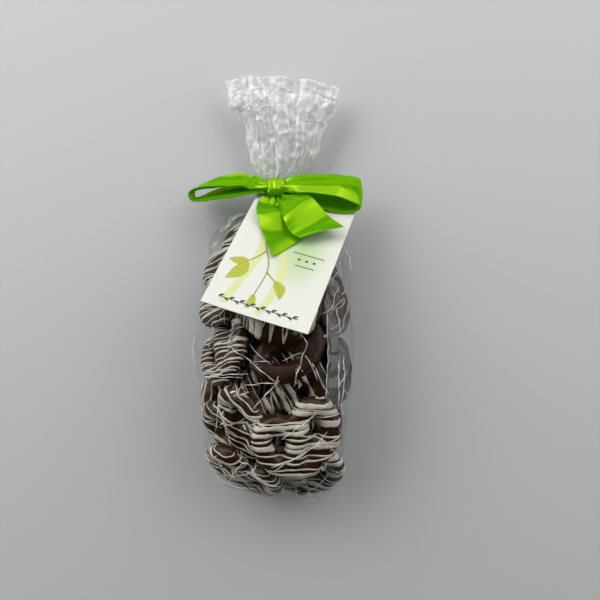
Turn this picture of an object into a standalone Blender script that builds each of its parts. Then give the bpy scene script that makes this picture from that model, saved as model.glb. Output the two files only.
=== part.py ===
"""A clear gift bag of chocolate covered pretzels, lying on its back.

A satin bow ties its neck and holds a card tag. The bag lies along Y, its closed end at -Y and its open,
fanned top at +Y. X runs across it and +Z points up, away from the table. Lengths are in millimetres and
become metres where each mesh is made.
"""

import math

import bmesh
import bpy
import numpy as np
from mathutils import Matrix, Vector

MM = 0.001

# The place in the working frame that becomes the origin: under the middle of the whole object.
MIDDLE_X = -0.35
MIDDLE_Y = 31.6
TABLE_Z = 0.5

# Gap kept between pieces that touch, in millimetres.
TOUCH_GAP = 0.4

# One coated pretzel, face up, its two large holes towards +Y. The right half's strand runs from its own
# end, over the crossing, round its lobe and down to the middle of the bottom arc. Each point is across,
# along and up.
HALF_STRAND = (
    (-7.6, -10.6, 1.0),
    (-3.6, -4.4, 1.5),
    (0.6, 1.6, 1.2),
    (3.6, 8.0, 0.2),
    (9.4, 12.6, 0.0),
    (15.8, 8.8, 0.0),
    (17.0, -0.4, 0.0),
    (12.0, -10.2, -0.1),
    (3.0, -14.8, -0.3),
    (-2.8, -14.6, -0.6),
)
# Spots within its holes that no other pretzel may enter.
HOLE_SPOTS = (
    (9.6, 3.4, 0.0),
    (-9.6, 3.4, 0.0),
    (0.0, -8.6, 0.0),
    (11.0, -3.0, 0.0),
    (-11.0, -3.0, 0.0),
)
STRAND_RADIUS = 4.8
STRAND_FLATNESS = 0.88
STRAND_END_SHARE = 0.82
STRAND_SIDES = 6
STRAND_RINGS = 12
CONTACT_POINTS = 14

# The bag's outer form, in rings along Y: (y, middle x, half width, lowest z, highest z).
BAG_RINGS = (
    (-78.5, 1.0, 22.0, 8.0, 31.0),
    (-72.5, 0.5, 31.0, 2.5, 44.0),
    (-60.0, 0.0, 34.5, 0.0, 52.0),
    (-30.0, 0.0, 37.5, 0.0, 57.0),
    (0.0, 0.0, 39.0, 0.0, 57.5),
    (22.0, 0.5, 38.5, 0.0, 55.6),
    (42.0, 0.5, 37.0, 0.0, 41.8),
    (56.0, 0.5, 32.0, 0.0, 32.0),
    (66.0, 0.3, 22.0, 1.0, 25.0),
    (73.0, 0.0, 10.5, 2.0, 16.0),
)
NECK_Y = 81.0
NECK_LENGTH = 9.0
NECK_RADIUS = 5.0
NECK_Z = 8.0

# The open top of the film, in rings along Y: (y, middle x, half width, lowest z, highest z).
FAN_RINGS = (
    (88.0, 0.8, 8.5, 2.0, 15.0),
    (94.0, 3.0, 13.5, 1.7, 17.0),
    (103.0, 4.2, 17.5, 1.4, 19.0),
    (112.0, 4.2, 21.0, 1.2, 21.0),
    (119.0, 3.4, 25.0, 1.0, 22.5),
    (126.0, 3.0, 29.0, 0.9, 24.0),
    (137.0, 3.6, 30.5, 0.8, 25.0),
)
FAN_PLEATS = 10
FAN_PLEAT_DEPTH = 0.14
# How much further the mouth reaches along Y at the left than at its middle.
MOUTH_SLANT = 2.4
BAG_SEGMENTS = 40
# How squarely a ring's corners are filled: 2 is an ellipse and more is squarer.
BODY_SQUARENESS = 2.9
NECK_SQUARENESS = 2.0
# How far the solid core lies inside the film where pretzels fill the bag: at the sides and ends, above
# and below.
CORE_INSET = 7.0
CORE_INSET_ABOVE = 17.0
CORE_INSET_BELOW = 4.5
# The inset at the right where the film stands away from the pretzels in a hollow fold, and where along Y
# that fold starts and ends.
CORE_INSET_HOLLOW = 2.0
HOLLOW_START = -35.0
HOLLOW_END = 10.0
# Where the inset has run out towards the neck, and over what length it does.
CORE_TAPER_END = 65.0
CORE_TAPER = 20.0

# The pretzels, as (x, y, z, facing, lean, spin): where the middle is, which way the drizzled face leans in
# degrees counter-clockwise from +X, by how much (0 faces up, 180 faces down), and how far the pretzel is
# turned on itself.
SHOWN_PRETZELS = (
    (17.0, -42.5, 48.5, 270.0, 22.0, 19.0),
    (6.5, 6.0, 43.5, 270.0, 162.0, 84.0),
    (4.0, -19.0, 36.5, 270.0, 4.0, 172.0),
    (4.0, 22.0, 51.0, 90.0, 10.0, 8.0),
    (-25.0, -39.0, 36.0, 208.0, 38.0, 30.0),
    (-19.0, -18.0, 30.0, 180.0, 20.0, 70.0),
    (-28.5, 5.0, 35.0, 176.0, 56.0, 70.0),
    (-26.0, 28.0, 34.0, 165.0, 56.0, 95.0),
    (-20.0, -62.5, 25.0, 240.0, 46.0, -30.0),
    (14.5, -66.5, 26.0, 271.0, 54.0, 4.0),
    (31.5, 26.0, 31.0, 4.0, 68.0, 84.0),
    (-24.0, 47.0, 23.0, 150.0, 50.0, 110.0),
    (1.0, 49.0, 22.0, 90.0, 24.0, 200.0),
)
HIDDEN_PRETZELS = (
    (-16.0, -50.0, 6.0, 270.0, 178.0, 15.0),
    (19.0, -47.0, 8.0, 200.0, 174.0, 100.0),
    (-17.0, -13.0, 6.0, 100.0, 2.0, 80.0),
    (10.0, -12.0, 11.0, 180.0, 166.0, -20.0),
    (-18.0, 24.0, 8.0, 160.0, 176.0, 90.0),
    (14.0, 24.0, 9.0, 300.0, 4.0, -50.0),
    (2.0, 50.0, 5.0, 90.0, 176.0, 10.0),
    (-6.0, -37.0, 21.0, 100.0, 10.0, 60.0),
    (23.0, -40.0, 27.0, 20.0, 48.0, 60.0),
    (-2.0, 8.0, 18.0, 10.0, 10.0, 200.0),
    (7.0, 10.0, 29.0, 200.0, 14.0, 20.0),
)
# Sweeps of the rule that moves touching pretzels apart, how freely the shown and hidden ones move, and how
# far apart two middles can be for the pretzels to touch.
SETTLE_SWEEPS = 90
SHOWN_SHARE = 0.12
HIDDEN_SHARE = 0.5
REACH = 52.0

# The satin ribbon. Each row of a loop or tail gives the ribbon's two edges there, as (x, y, z) each. A
# loop's rows run from the knot round the loop and back to the knot, and a tail's run from the knot to its
# slanting end.
RIBBON_THICKNESS = 0.6
COLLAR_WIDTH = 7.0
COLLAR_INNER_RADIUS = NECK_RADIUS + TOUCH_GAP
COLLAR_OUTER_RADIUS = COLLAR_INNER_RADIUS + 1.0
KNOT_SIZE = (9.4, 9.4, 6.0)
KNOT_MIDDLE = Vector((0.4, 81.4, 21.8))
LEFT_LOOP = (
    ((-5.4, 85.2, 18.6), (-5.0, 80.0, 25.4)),
    ((-10.0, 88.9, 14.0), (-9.6, 80.2, 25.5)),
    ((-16.6, 90.8, 12.0), (-16.4, 81.6, 25.5)),
    ((-24.7, 90.7, 11.0), (-24.2, 81.8, 24.5)),
    ((-32.8, 88.2, 10.0), (-31.9, 81.6, 24.0)),
    ((-38.9, 85.9, 9.0), (-38.2, 81.4, 23.0)),
    ((-42.7, 83.6, 8.5), (-43.6, 79.7, 22.5)),
    ((-44.0, 80.5, 8.0), (-44.8, 77.0, 22.0)),
    ((-42.8, 78.2, 8.0), (-42.7, 74.5, 22.0)),
    ((-38.9, 79.7, 8.5), (-37.2, 74.2, 22.5)),
    ((-34.0, 82.0, 9.0), (-31.1, 75.2, 22.5)),
    ((-25.9, 84.4, 10.0), (-22.8, 76.1, 23.0)),
    ((-16.7, 85.0, 11.5), (-15.0, 77.4, 24.0)),
    ((-10.4, 84.4, 15.6), (-9.4, 78.4, 24.5)),
    ((-5.4, 82.4, 19.6), (-5.4, 78.4, 23.6)),
)
RIGHT_LOOP = (
    ((5.8, 85.1, 20.0), (6.0, 78.4, 27.0)),
    ((10.4, 87.8, 20.0), (11.0, 77.6, 30.0)),
    ((17.7, 88.5, 20.0), (18.5, 77.1, 31.0)),
    ((25.4, 88.3, 20.0), (26.5, 75.9, 31.0)),
    ((33.2, 87.9, 20.0), (33.5, 74.4, 30.5)),
    ((39.4, 87.3, 20.0), (39.0, 72.7, 29.8)),
    ((43.4, 86.0, 19.6), (42.4, 71.0, 29.0)),
    ((43.6, 82.6, 17.2), (42.4, 69.2, 26.6)),
    ((39.1, 81.0, 17.0), (37.8, 67.8, 26.2)),
    ((32.4, 81.6, 16.8), (31.7, 67.8, 26.2)),
    ((25.5, 82.5, 17.0), (25.1, 69.3, 26.2)),
    ((17.7, 83.4, 17.8), (17.6, 72.1, 26.2)),
    ((10.9, 83.2, 18.2), (11.0, 74.8, 25.2)),
    ((5.8, 82.4, 18.0), (6.0, 77.2, 23.4)),
)
LEFT_TAIL = (
    ((-5.2, 78.0, 24.2), (0.0, 75.9, 25.0)),
    ((-8.9, 74.2, 27.0), (2.9, 71.3, 26.7)),
    ((-9.2, 67.3, 31.2), (6.0, 68.3, 28.2)),
    ((-7.0, 60.3, 35.3), (9.0, 62.8, 31.7)),
    ((-3.9, 52.5, 40.0), (12.0, 57.7, 35.1)),
    ((-1.0, 44.2, 44.9), (14.5, 54.5, 37.4)),
)
RIGHT_TAIL = (
    ((5.0, 76.6, 27.0), (1.2, 74.6, 27.6)),
    ((11.0, 77.4, 28.3), (2.2, 70.5, 30.6)),
    ((16.8, 75.5, 29.2), (3.9, 64.5, 34.3)),
    ((21.9, 70.5, 32.0), (6.4, 58.9, 37.8)),
    ((27.0, 65.1, 35.2), (9.1, 56.0, 40.0)),
    ((33.6, 59.1, 39.1), (12.2, 53.5, 42.0)),
)
LOOP_RINGS = 44
TAIL_RINGS = 18

# The card tag: its lower left corner, the heading of its lower edge, and roughly that of its side.
TAG_WIDTH = 51.0
TAG_LENGTH = 80.0
TAG_THICKNESS = 0.5
TAG_CORNER = Vector((-32.3, 23.3, 60.0))
TAG_ALONG_EDGE = Vector((0.947, -0.287, 0.147))
TAG_UP_SIDE = Vector((0.319, 0.767, -0.557))


def clear_scene():
    for old in list(bpy.data.objects):
        bpy.data.objects.remove(old, do_unlink=True)


def material(name, colour, roughness, metallic=0.0):
    made = bpy.data.materials.new(name)
    made.use_nodes = True
    shader = made.node_tree.nodes["Principled BSDF"]
    shader.inputs["Base Color"].default_value = (*colour, 1.0)
    shader.inputs["Roughness"].default_value = roughness
    shader.inputs["Metallic"].default_value = metallic
    return made


def add_object(name, bm, look, smooth_angle=math.radians(40)):
    """Links a mesh in millimetres in the working frame as an object in metres in the part's frame."""
    bmesh.ops.recalc_face_normals(bm, faces=bm.faces)
    bm.transform(Matrix.Scale(MM, 4) @ Matrix.Translation((-MIDDLE_X, -MIDDLE_Y, -TABLE_Z)))
    mesh = bpy.data.meshes.new(name)
    bm.to_mesh(mesh)
    bm.free()
    mesh.shade_smooth()
    mesh.set_sharp_from_angle(angle=smooth_angle)
    mesh.materials.append(look)
    made = bpy.data.objects.new(name, mesh)
    bpy.context.scene.collection.objects.link(made)
    return made


def smooth_path(points, count):
    """count points, evenly spaced, on a smooth curve through the given ones."""
    knots = np.array(points, float)
    ends = np.vstack([2 * knots[0] - knots[1], knots, 2 * knots[-1] - knots[-2]])
    fine = []
    for i in range(len(knots) - 1):
        a, b, c, d = ends[i : i + 4]
        square, cube = 2 * a - 5 * b + 4 * c - d, 3 * b - a - 3 * c + d
        for t in np.linspace(0, 1, 24, endpoint=False):
            fine.append(0.5 * (2 * b + (c - a) * t + square * t**2 + cube * t**3))
    fine = np.array([*fine, knots[-1]])
    reach = np.concatenate([[0], np.cumsum(np.linalg.norm(np.diff(fine, axis=0), axis=1))])
    wanted = np.linspace(0, reach[-1], count)
    return np.column_stack([np.interp(wanted, reach, fine[:, k]) for k in range(fine.shape[1])])


def loft(rings, closed_path=False):
    """A closed body through rings of equally many points, with its ends capped or joined to each other."""
    bm = bmesh.new()
    loops = [[bm.verts.new(p) for p in ring] for ring in rings]
    pairs = list(zip(loops, loops[1:]))
    if closed_path:
        pairs.append((loops[-1], loops[0]))
    size = len(loops[0])
    for a, b in pairs:
        for k in range(size):
            bm.faces.new((a[k], a[(k + 1) % size], b[(k + 1) % size], b[k]))
    if not closed_path:
        bm.faces.new(loops[0])
        bm.faces.new(loops[-1])
    return bm


def half_strand_path(mirrored, count):
    """The middle line of one half of the pretzel. The mirrored half passes under at the crossing."""
    path = smooth_path(HALF_STRAND, count)
    if mirrored:
        path = path * np.array([-1.0, 1.0, -1.0])
    return path


def strand_rings(path):
    """Rings of a slightly flattened tube round a path near the XY plane, smaller at its two ends."""
    steps = np.gradient(path, axis=0)
    rings = []
    for i, (point, step) in enumerate(zip(path, steps)):
        side = Vector((-step[1], step[0], 0)).normalized()
        end = min(i, len(path) - 1 - i)
        radius = STRAND_RADIUS * (STRAND_END_SHARE if end == 0 else 1.0)
        ring = []
        for k in range(STRAND_SIDES):
            angle = 2 * math.pi * (k + 0.5) / STRAND_SIDES
            out = side * math.cos(angle) + Vector((0, 0, STRAND_FLATNESS * math.sin(angle)))
            ring.append(Vector(point) + radius * out)
        rings.append(ring)
    return rings


def facing_matrix(facing, lean, spin):
    """Turns a face-up pretzel by spin, then leans its face by lean towards the heading of facing."""
    across = Vector((-math.sin(math.radians(facing)), math.cos(math.radians(facing)), 0))
    return Matrix.Rotation(math.radians(lean), 3, across) @ Matrix.Rotation(math.radians(spin), 3, "Z")


def keep_inside(points):
    """How far each strand point has to move to stay inside the bag."""
    ys = [ring[0] for ring in BAG_RINGS]
    x, y, z = points.T
    y_kept = np.clip(y, ys[0] + STRAND_RADIUS + 2, ys[-2] - STRAND_RADIUS)
    middle, half, low, high = (np.interp(y_kept, ys, [ring[k] for ring in BAG_RINGS]) for k in range(1, 5))
    half = half - STRAND_RADIUS
    low = low + STRAND_RADIUS * STRAND_FLATNESS
    high = high - STRAND_RADIUS
    centre, rise = (low + high) / 2, (high - low) / 2
    across, up = np.abs((x - middle) / half), np.abs((z - centre) / rise)
    out = np.maximum((across**BODY_SQUARENESS + up**BODY_SQUARENESS) ** (1 / BODY_SQUARENESS), 1)
    return np.column_stack([middle + (x - middle) / out - x, y_kept - y, centre + (z - centre) / out - z])


def settled_pretzels():
    """The pretzels' places after a rule has moved touching ones apart, as (3x3 turn, middle) pairs."""
    listed = SHOWN_PRETZELS + HIDDEN_PRETZELS
    turns = [np.array(facing_matrix(*row[3:])) for row in listed]
    middles = [np.array(row[:3], float) for row in listed]
    share = [SHOWN_SHARE] * len(SHOWN_PRETZELS) + [HIDDEN_SHARE] * len(HIDDEN_PRETZELS)
    right, left = (half_strand_path(mirrored, CONTACT_POINTS) for mirrored in (False, True))
    strand = np.vstack([right, left, HOLE_SPOTS])
    apart = 2 * STRAND_RADIUS * STRAND_FLATNESS
    numbers = range(len(listed))
    for _ in range(SETTLE_SWEEPS):
        for i in numbers:
            mine = strand @ turns[i].T + middles[i]
            others = [j for j in numbers if j != i and np.linalg.norm(middles[j] - middles[i]) < REACH]
            others = np.vstack([strand @ turns[j].T + middles[j] for j in others])
            gap = mine[:, None, :] - others[None, :, :]
            distance = np.linalg.norm(gap, axis=2)
            near = distance < apart
            push = (gap / distance[..., None] * ((apart - distance) * near)[..., None]).sum(axis=1)
            push = push / np.maximum(near.sum(axis=1), 1)[:, None] * share[i] + keep_inside(mine)
            moving = np.linalg.norm(push, axis=1) > 0
            if not moving.any():
                continue
            arm = mine - middles[i]
            middles[i] = middles[i] + push[moving].mean(axis=0)
            twist = np.cross(arm, push).sum(axis=0) / (arm**2).sum()
            angle = float(np.linalg.norm(twist))
            if angle > 0:
                turns[i] = np.array(Matrix.Rotation(angle, 3, Vector(twist / angle))) @ turns[i]
    return list(zip(turns, middles))


def pretzel_halves(places):
    """Two overlapping closed tubes for each pretzel, as temporary objects for the union."""
    made = []
    for turn, middle in places:
        placing = Matrix.Translation(middle) @ Matrix(turn.tolist()).to_4x4()
        for mirrored in (False, True):
            bm = loft(strand_rings(half_strand_path(mirrored, STRAND_RINGS)))
            bm.transform(placing)
            made.append(add_object("strand", bm, LOOKS["chocolate"]))
    return made


def bag_ring(y, middle, half, low, high, squareness, pleat=0.0):
    """One closed outline of the bag, a squared ellipse whose edge can be pleated."""
    centre, rise = (low + high) / 2, (high - low) / 2
    ring = []
    for k in range(BAG_SEGMENTS):
        angle = 2 * math.pi * k / BAG_SEGMENTS
        c, s = math.cos(angle), math.sin(angle)
        size = (abs(c) ** squareness + abs(s) ** squareness) ** (-1 / squareness)
        fold = 1 - pleat * (1 - math.cos(FAN_PLEATS * angle))
        ring.append((middle + half * size * c * fold, y, centre + rise * size * s * fold))
    return ring


def bag_core():
    """The bag's solid middle and the lower half of its gathered neck, as one body."""
    rings = []
    for y, middle, half, low, high in BAG_RINGS:
        filled = min(1.0, max(0.0, (CORE_TAPER_END - y) / CORE_TAPER))
        low, high = low + CORE_INSET_BELOW * filled, high - CORE_INSET_ABOVE * filled
        left = right = CORE_INSET * filled
        if HOLLOW_START < y < HOLLOW_END:
            right = CORE_INSET_HOLLOW
        middle, half = middle + (left - right) / 2, half - (left + right) / 2
        rings.append(bag_ring(y, middle, half, low, high, BODY_SQUARENESS))
    rings[0] = [(x, y + CORE_INSET, z) for x, y, z in rings[0]]
    rings[1] = [(x, y + CORE_INSET * 0.6, z) for x, y, z in rings[1]]
    rings += [neck_ring(NECK_Y - NECK_LENGTH / 2), neck_ring(NECK_Y - TOUCH_GAP / 2)]
    return add_object("filled_bag", loft(rings), LOOKS["chocolate"])


def neck_ring(y):
    return bag_ring(y, 0.0, NECK_RADIUS, NECK_Z - NECK_RADIUS, NECK_Z + NECK_RADIUS, NECK_SQUARENESS)


def film_top():
    """The upper half of the neck and the fanned, pleated top that it opens into."""
    rings = [neck_ring(NECK_Y + TOUCH_GAP / 2), neck_ring(NECK_Y + NECK_LENGTH / 2)]
    for i, (y, middle, half, low, high) in enumerate(FAN_RINGS):
        pleat = FAN_PLEAT_DEPTH * (i + 1) / len(FAN_RINGS)
        rings.append(bag_ring(y, middle, half, low, high, NECK_SQUARENESS, pleat))
    mouth, middle, half = FAN_RINGS[-1][:3]
    rings[-1] = [(x, mouth - MOUTH_SLANT * (x - middle) / half, z) for x, _, z in rings[-1]]
    return add_object("film_top", loft(rings), LOOKS["film"])


def cut_flat_underneath(body):
    """Takes off what reaches below the table, which leaves flat resting spots."""
    across, deep = 400 * MM, 100 * MM
    bpy.ops.mesh.primitive_cube_add(size=1, location=(0, 0, -deep / 2))
    cutter = bpy.context.active_object
    cutter.scale = (across, across, deep)
    bpy.ops.object.transform_apply(location=True, scale=True)
    boolean = body.modifiers.new("table", "BOOLEAN")
    boolean.operation = "DIFFERENCE"
    boolean.solver = "MANIFOLD"
    boolean.object = cutter
    apply_modifiers(body)
    body.data.materials.clear()
    body.data.materials.append(LOOKS["chocolate"])
    bpy.data.objects.remove(cutter, do_unlink=True)


def apply_modifiers(body):
    bpy.ops.object.select_all(action="DESELECT")
    body.select_set(True)
    bpy.context.view_layer.objects.active = body
    for modifier in list(body.modifiers):
        bpy.ops.object.modifier_apply(modifier=modifier.name)


def keep_outer_shell(body):
    """Keeps the largest connected shell, which fills hidden hollows and drops loose scraps."""
    bm = bmesh.new()
    bm.from_mesh(body.data)
    left = set(bm.faces)
    largest = set()
    while left:
        shell, edge = set(), {left.pop()}
        while edge:
            shell |= edge
            edge = {g for f in edge for e in f.edges for g in e.link_faces} & left
            left -= edge
        if len(shell) > len(largest):
            largest = shell
    bmesh.ops.delete(bm, geom=[f for f in bm.faces if f not in largest], context="FACES")
    bm.to_mesh(body.data)
    bm.free()


def filled_bag():
    """The bag and the pretzels that show through it, as one solid."""
    body = bag_core()
    group = bpy.data.collections.new("strands")
    bpy.context.scene.collection.children.link(group)
    strands = pretzel_halves(settled_pretzels())
    for strand in strands:
        group.objects.link(strand)
    union = body.modifiers.new("union", "BOOLEAN")
    union.operation = "UNION"
    union.operand_type = "COLLECTION"
    union.solver = "MANIFOLD"
    union.collection = group
    apply_modifiers(body)
    for strand in strands:
        bpy.data.objects.remove(strand, do_unlink=True)
    bpy.data.collections.remove(group)
    cut_flat_underneath(body)
    keep_outer_shell(body)
    return body


def tag_axes():
    """The tag's lower edge, side and upward facing directions, square to each other."""
    along = TAG_ALONG_EDGE.normalized()
    facing = along.cross(TAG_UP_SIDE).normalized()
    return along, facing.cross(along), facing


def tag():
    """The flat card."""
    along, side, facing = tag_axes()
    rings = []
    for height in (-TAG_THICKNESS, 0.0):
        low = TAG_CORNER + facing * height
        high = low + side * TAG_LENGTH
        rings.append([low, low + along * TAG_WIDTH, high + along * TAG_WIDTH, high])
    return add_object("tag", loft(rings), LOOKS["card"])


def ribbon_strip(name, rows, count):
    """A loop or tail: a thin, flat band through the given edge pairs."""
    edges = smooth_path([[*a, *b] for a, b in rows], count)
    first, second = edges[:, :3], edges[:, 3:]
    forward = np.gradient((first + second) / 2, axis=0)
    rings = []
    for a, b, step in zip(first, second, forward):
        across = Vector(b - a)
        up = across.cross(Vector(step)).normalized() * RIBBON_THICKNESS / 2
        a, b = Vector(a), Vector(b)
        rings.append([a + up, b + up, b - up, a - up])
    return add_object(name, loft(rings), LOOKS["satin"])


def ribbon_band():
    """The ribbon's turn round the neck, a flat ring about Y."""
    half = COLLAR_WIDTH / 2
    section = (
        (COLLAR_INNER_RADIUS, -half),
        (COLLAR_OUTER_RADIUS, -half),
        (COLLAR_OUTER_RADIUS + 0.2, 0.0),
        (COLLAR_OUTER_RADIUS, half),
        (COLLAR_INNER_RADIUS, half),
    )
    rings = []
    for k in range(40):
        angle = 2 * math.pi * k / 40
        c, s = math.cos(angle), math.sin(angle)
        rings.append([(r * c, NECK_Y - 0.6 + y, NECK_Z + r * s) for r, y in section])
    return add_object("ribbon_band", loft(rings, closed_path=True), LOOKS["satin"])


def bow_knot():
    """The knot, a small soft cushion that lies along the tag."""
    facing = tag_axes()[2]
    up = Vector((0, facing.y, facing.z)).normalized()
    bm = bmesh.new()
    bmesh.ops.create_cube(bm, size=1.0)
    turn = Matrix((Vector((1, 0, 0)), up.cross(Vector((1, 0, 0))), up)).transposed().to_4x4()
    bm.transform(Matrix.Translation(KNOT_MIDDLE) @ turn @ Matrix.Diagonal((*KNOT_SIZE, 1.0)))
    bmesh.ops.bevel(bm, geom=bm.edges, offset=1.6, segments=3, profile=0.5, affect="EDGES")
    return add_object("bow_knot", bm, LOOKS["satin"])


LOOKS = {}


def main():
    clear_scene()
    LOOKS["film"] = material("film", (0.74, 0.75, 0.74), 0.15)
    LOOKS["chocolate"] = material("chocolate", (0.075, 0.032, 0.016), 0.35)
    LOOKS["satin"] = material("satin", (0.17, 0.52, 0.012), 0.35)
    LOOKS["card"] = material("card", (0.83, 0.84, 0.79), 0.6)
    filled_bag()
    film_top()
    tag()
    ribbon_band()
    bow_knot()
    ribbon_strip("bow_loop_left", LEFT_LOOP, LOOP_RINGS)
    ribbon_strip("bow_loop_right", RIGHT_LOOP, LOOP_RINGS)
    ribbon_strip("bow_tail_left", LEFT_TAIL, TAIL_RINGS)
    ribbon_strip("bow_tail_right", RIGHT_TAIL, TAIL_RINGS)


main()
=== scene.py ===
"""A clear gift bag of drizzled chocolate covered pretzels, tied with a satin bow that holds a card tag."""

import math
import random

import bmesh
import bpy
import numpy as np
from mathutils import Matrix, Vector, noise
from mathutils.bvhtree import BVHTree


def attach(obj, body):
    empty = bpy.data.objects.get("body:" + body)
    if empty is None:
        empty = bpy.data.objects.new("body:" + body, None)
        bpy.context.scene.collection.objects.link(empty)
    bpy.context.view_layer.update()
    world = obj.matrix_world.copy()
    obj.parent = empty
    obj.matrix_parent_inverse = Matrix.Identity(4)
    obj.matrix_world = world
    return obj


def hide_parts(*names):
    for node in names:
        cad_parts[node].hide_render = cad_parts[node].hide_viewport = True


MM = 0.001
# The bag is laid out in millimetres with its closed end at -Y. This point of that layout is the frame's
# origin, and the table is level with it.
MIDDLE = Vector((-0.35, 31.6, 0.5))
TABLE_Z = MIDDLE.z
# The least heights of the pretzels, the drizzle and the film above the table.
PRETZEL_GAP = 0.3
DRIZZLE_GAP = 0.1
FILM_GAP = 0.06
# Edges that turn by more than these angles stay sharp.
FILM_CREASE_ANGLE = 22
RIBBON_CREASE_ANGLE = 50
CARD_CREASE_ANGLE = 40
# From this height a ray down meets the top side of whatever lies there.
HIGH_ABOVE = 120.0
DOWN = Vector((0, 0, -1))
# The range that the phase of a wave is drawn from.
PHASES = (0, 6.28)

# One pretzel, face up, as in the solid: the right half's strand, as points across, along and up.
HALF_STRAND = (
    (-7.6, -10.6, 1.0),
    (-3.6, -4.4, 1.5),
    (0.6, 1.6, 1.2),
    (3.6, 8.0, 0.2),
    (9.4, 12.6, 0.0),
    (15.8, 8.8, 0.0),
    (17.0, -0.4, 0.0),
    (12.0, -10.2, -0.1),
    (3.0, -14.8, -0.3),
    (-2.8, -14.6, -0.6),
)
HOLE_SPOTS = (
    (9.6, 3.4, 0.0),
    (-9.6, 3.4, 0.0),
    (0.0, -8.6, 0.0),
    (11.0, -3.0, 0.0),
    (-11.0, -3.0, 0.0),
)
STRAND_RADIUS = 4.8
STRAND_FLATNESS = 0.88

# The bag's outer form, in rings along Y: (y, middle x, half width, lowest z, highest z).
BAG_RINGS = (
    (-78.5, 1.0, 22.0, 8.0, 31.0),
    (-72.5, 0.5, 31.0, 2.5, 44.0),
    (-60.0, 0.0, 34.5, 0.0, 52.0),
    (-30.0, 0.0, 37.5, 0.0, 57.0),
    (0.0, 0.0, 39.0, 0.0, 57.5),
    (22.0, 0.5, 38.5, 0.0, 55.6),
    (42.0, 0.5, 37.0, 0.0, 41.8),
    (56.0, 0.5, 32.0, 0.0, 32.0),
    (66.0, 0.3, 22.0, 1.0, 25.0),
    (73.0, 0.0, 10.5, 2.0, 16.0),
)
BODY_SQUARENESS = 2.9

# The pretzels, as (x, y, z, facing, lean, spin), as in the solid.
SHOWN_PRETZELS = (
    (17.0, -42.5, 48.5, 270.0, 22.0, 19.0),
    (6.5, 6.0, 43.5, 270.0, 162.0, 84.0),
    (4.0, -19.0, 36.5, 270.0, 4.0, 172.0),
    (4.0, 22.0, 51.0, 90.0, 10.0, 8.0),
    (-25.0, -39.0, 36.0, 208.0, 38.0, 30.0),
    (-19.0, -18.0, 30.0, 180.0, 20.0, 70.0),
    (-28.5, 5.0, 35.0, 176.0, 56.0, 70.0),
    (-26.0, 28.0, 34.0, 165.0, 56.0, 95.0),
    (-20.0, -62.5, 25.0, 240.0, 46.0, -30.0),
    (14.5, -66.5, 26.0, 271.0, 54.0, 4.0),
    (31.5, 26.0, 31.0, 4.0, 68.0, 84.0),
    (-24.0, 47.0, 23.0, 150.0, 50.0, 110.0),
    (1.0, 49.0, 22.0, 90.0, 24.0, 200.0),
)
HIDDEN_PRETZELS = (
    (-16.0, -50.0, 6.0, 270.0, 178.0, 15.0),
    (19.0, -47.0, 8.0, 200.0, 174.0, 100.0),
    (-17.0, -13.0, 6.0, 100.0, 2.0, 80.0),
    (10.0, -12.0, 11.0, 180.0, 166.0, -20.0),
    (-18.0, 24.0, 8.0, 160.0, 176.0, 90.0),
    (14.0, 24.0, 9.0, 300.0, 4.0, -50.0),
    (2.0, 50.0, 5.0, 90.0, 176.0, 10.0),
    (-6.0, -37.0, 21.0, 100.0, 10.0, 60.0),
    (23.0, -40.0, 27.0, 20.0, 48.0, 60.0),
    (-2.0, 8.0, 18.0, 10.0, 10.0, 200.0),
    (7.0, 10.0, 29.0, 200.0, 14.0, 20.0),
)
# A low one, bare of drizzle, that stands against the film where the rest leaves room.
LOW_PRETZELS = ((29.2, -10.0, 21.0, 2.0, 104.0, 12.0),)
# One that lies flatter than in the solid: (which, shift, turn about the X axis).
TURNED_PRETZELS = ((9, (2.0, 1.0, -4.0), -20.0),)
# The rule that moves touching pretzels apart, as in the solid: its rounds, the points that feel for others
# on each strand, the shares of a push that shown and hidden ones take, how far apart the middles of
# touching ones can be, and the room left at the closed end.
SETTLE_SWEEPS = 90
CONTACT_POINTS = 14
SHOWN_SHARE = 0.12
HIDDEN_SHARE = 0.5
REACH = 52.0
END_GAP = 2.0

# The coated pretzel in detail: how many different ones, how far the strands sway and how thick and thin
# they run, the fineness of the skin that joins them, and how far the coating fills the holes' corners.
VARIANTS = 6
VARIANT_SEED = 100
PATH_POINTS = 40
SWAY_POINTS = 6
POINT_JITTER = 0.55
SWELL_POINTS = 7
SWELL_RANGE = (0.93, 1.06)
END_THINNING = 0.86
COATING_VOXEL = 0.6
CORNER_FILL = 1.3
SMOOTHING_LOSS = 0.2
# Lumps in the coating, as (fineness, height), the flat foot that it set on, how much of what lies below the
# foot's level is left there, and the number of faces.
LUMPS = ((0.16, 0.6), (0.5, 0.2))
FOOT_Z = -3.7
FOOT_ROUNDING = 0.12
PRETZEL_FACES = 6200

# The drizzle of each shown pretzel: (heading in the view from above, spacing, wide, thin, waviness).
DRIZZLES = (
    (3.0, 3.7, 2.3, 0.8, 0.25),
    (40.0, 9.0, 1.2, 0.6, 0.8),
    (-62.0, 5.8, 2.4, 0.6, 0.25),
    (88.0, 4.8, 2.8, 0.7, 0.25),
    (-34.0, 3.1, 1.4, 0.6, 0.9),
    (86.0, 3.6, 1.5, 0.7, 0.6),
    (31.0, 2.7, 1.1, 0.6, 0.5),
    (28.0, 2.7, 1.1, 0.6, 0.5),
    (-22.0, 3.2, 1.3, 0.6, 0.9),
    (-8.0, 4.8, 2.8, 0.7, 0.3),
    (76.0, 13.0, 0.6, 0.4, 0.2),
    (30.0, 2.7, 1.1, 0.6, 0.5),
    (60.0, 3.4, 1.4, 0.7, 0.5),
)
# Sparser on those below: (spacing, wide, thin, waviness).
HIDDEN_DRIZZLE = (9.0, 1.2, 0.6, 0.6)
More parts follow.
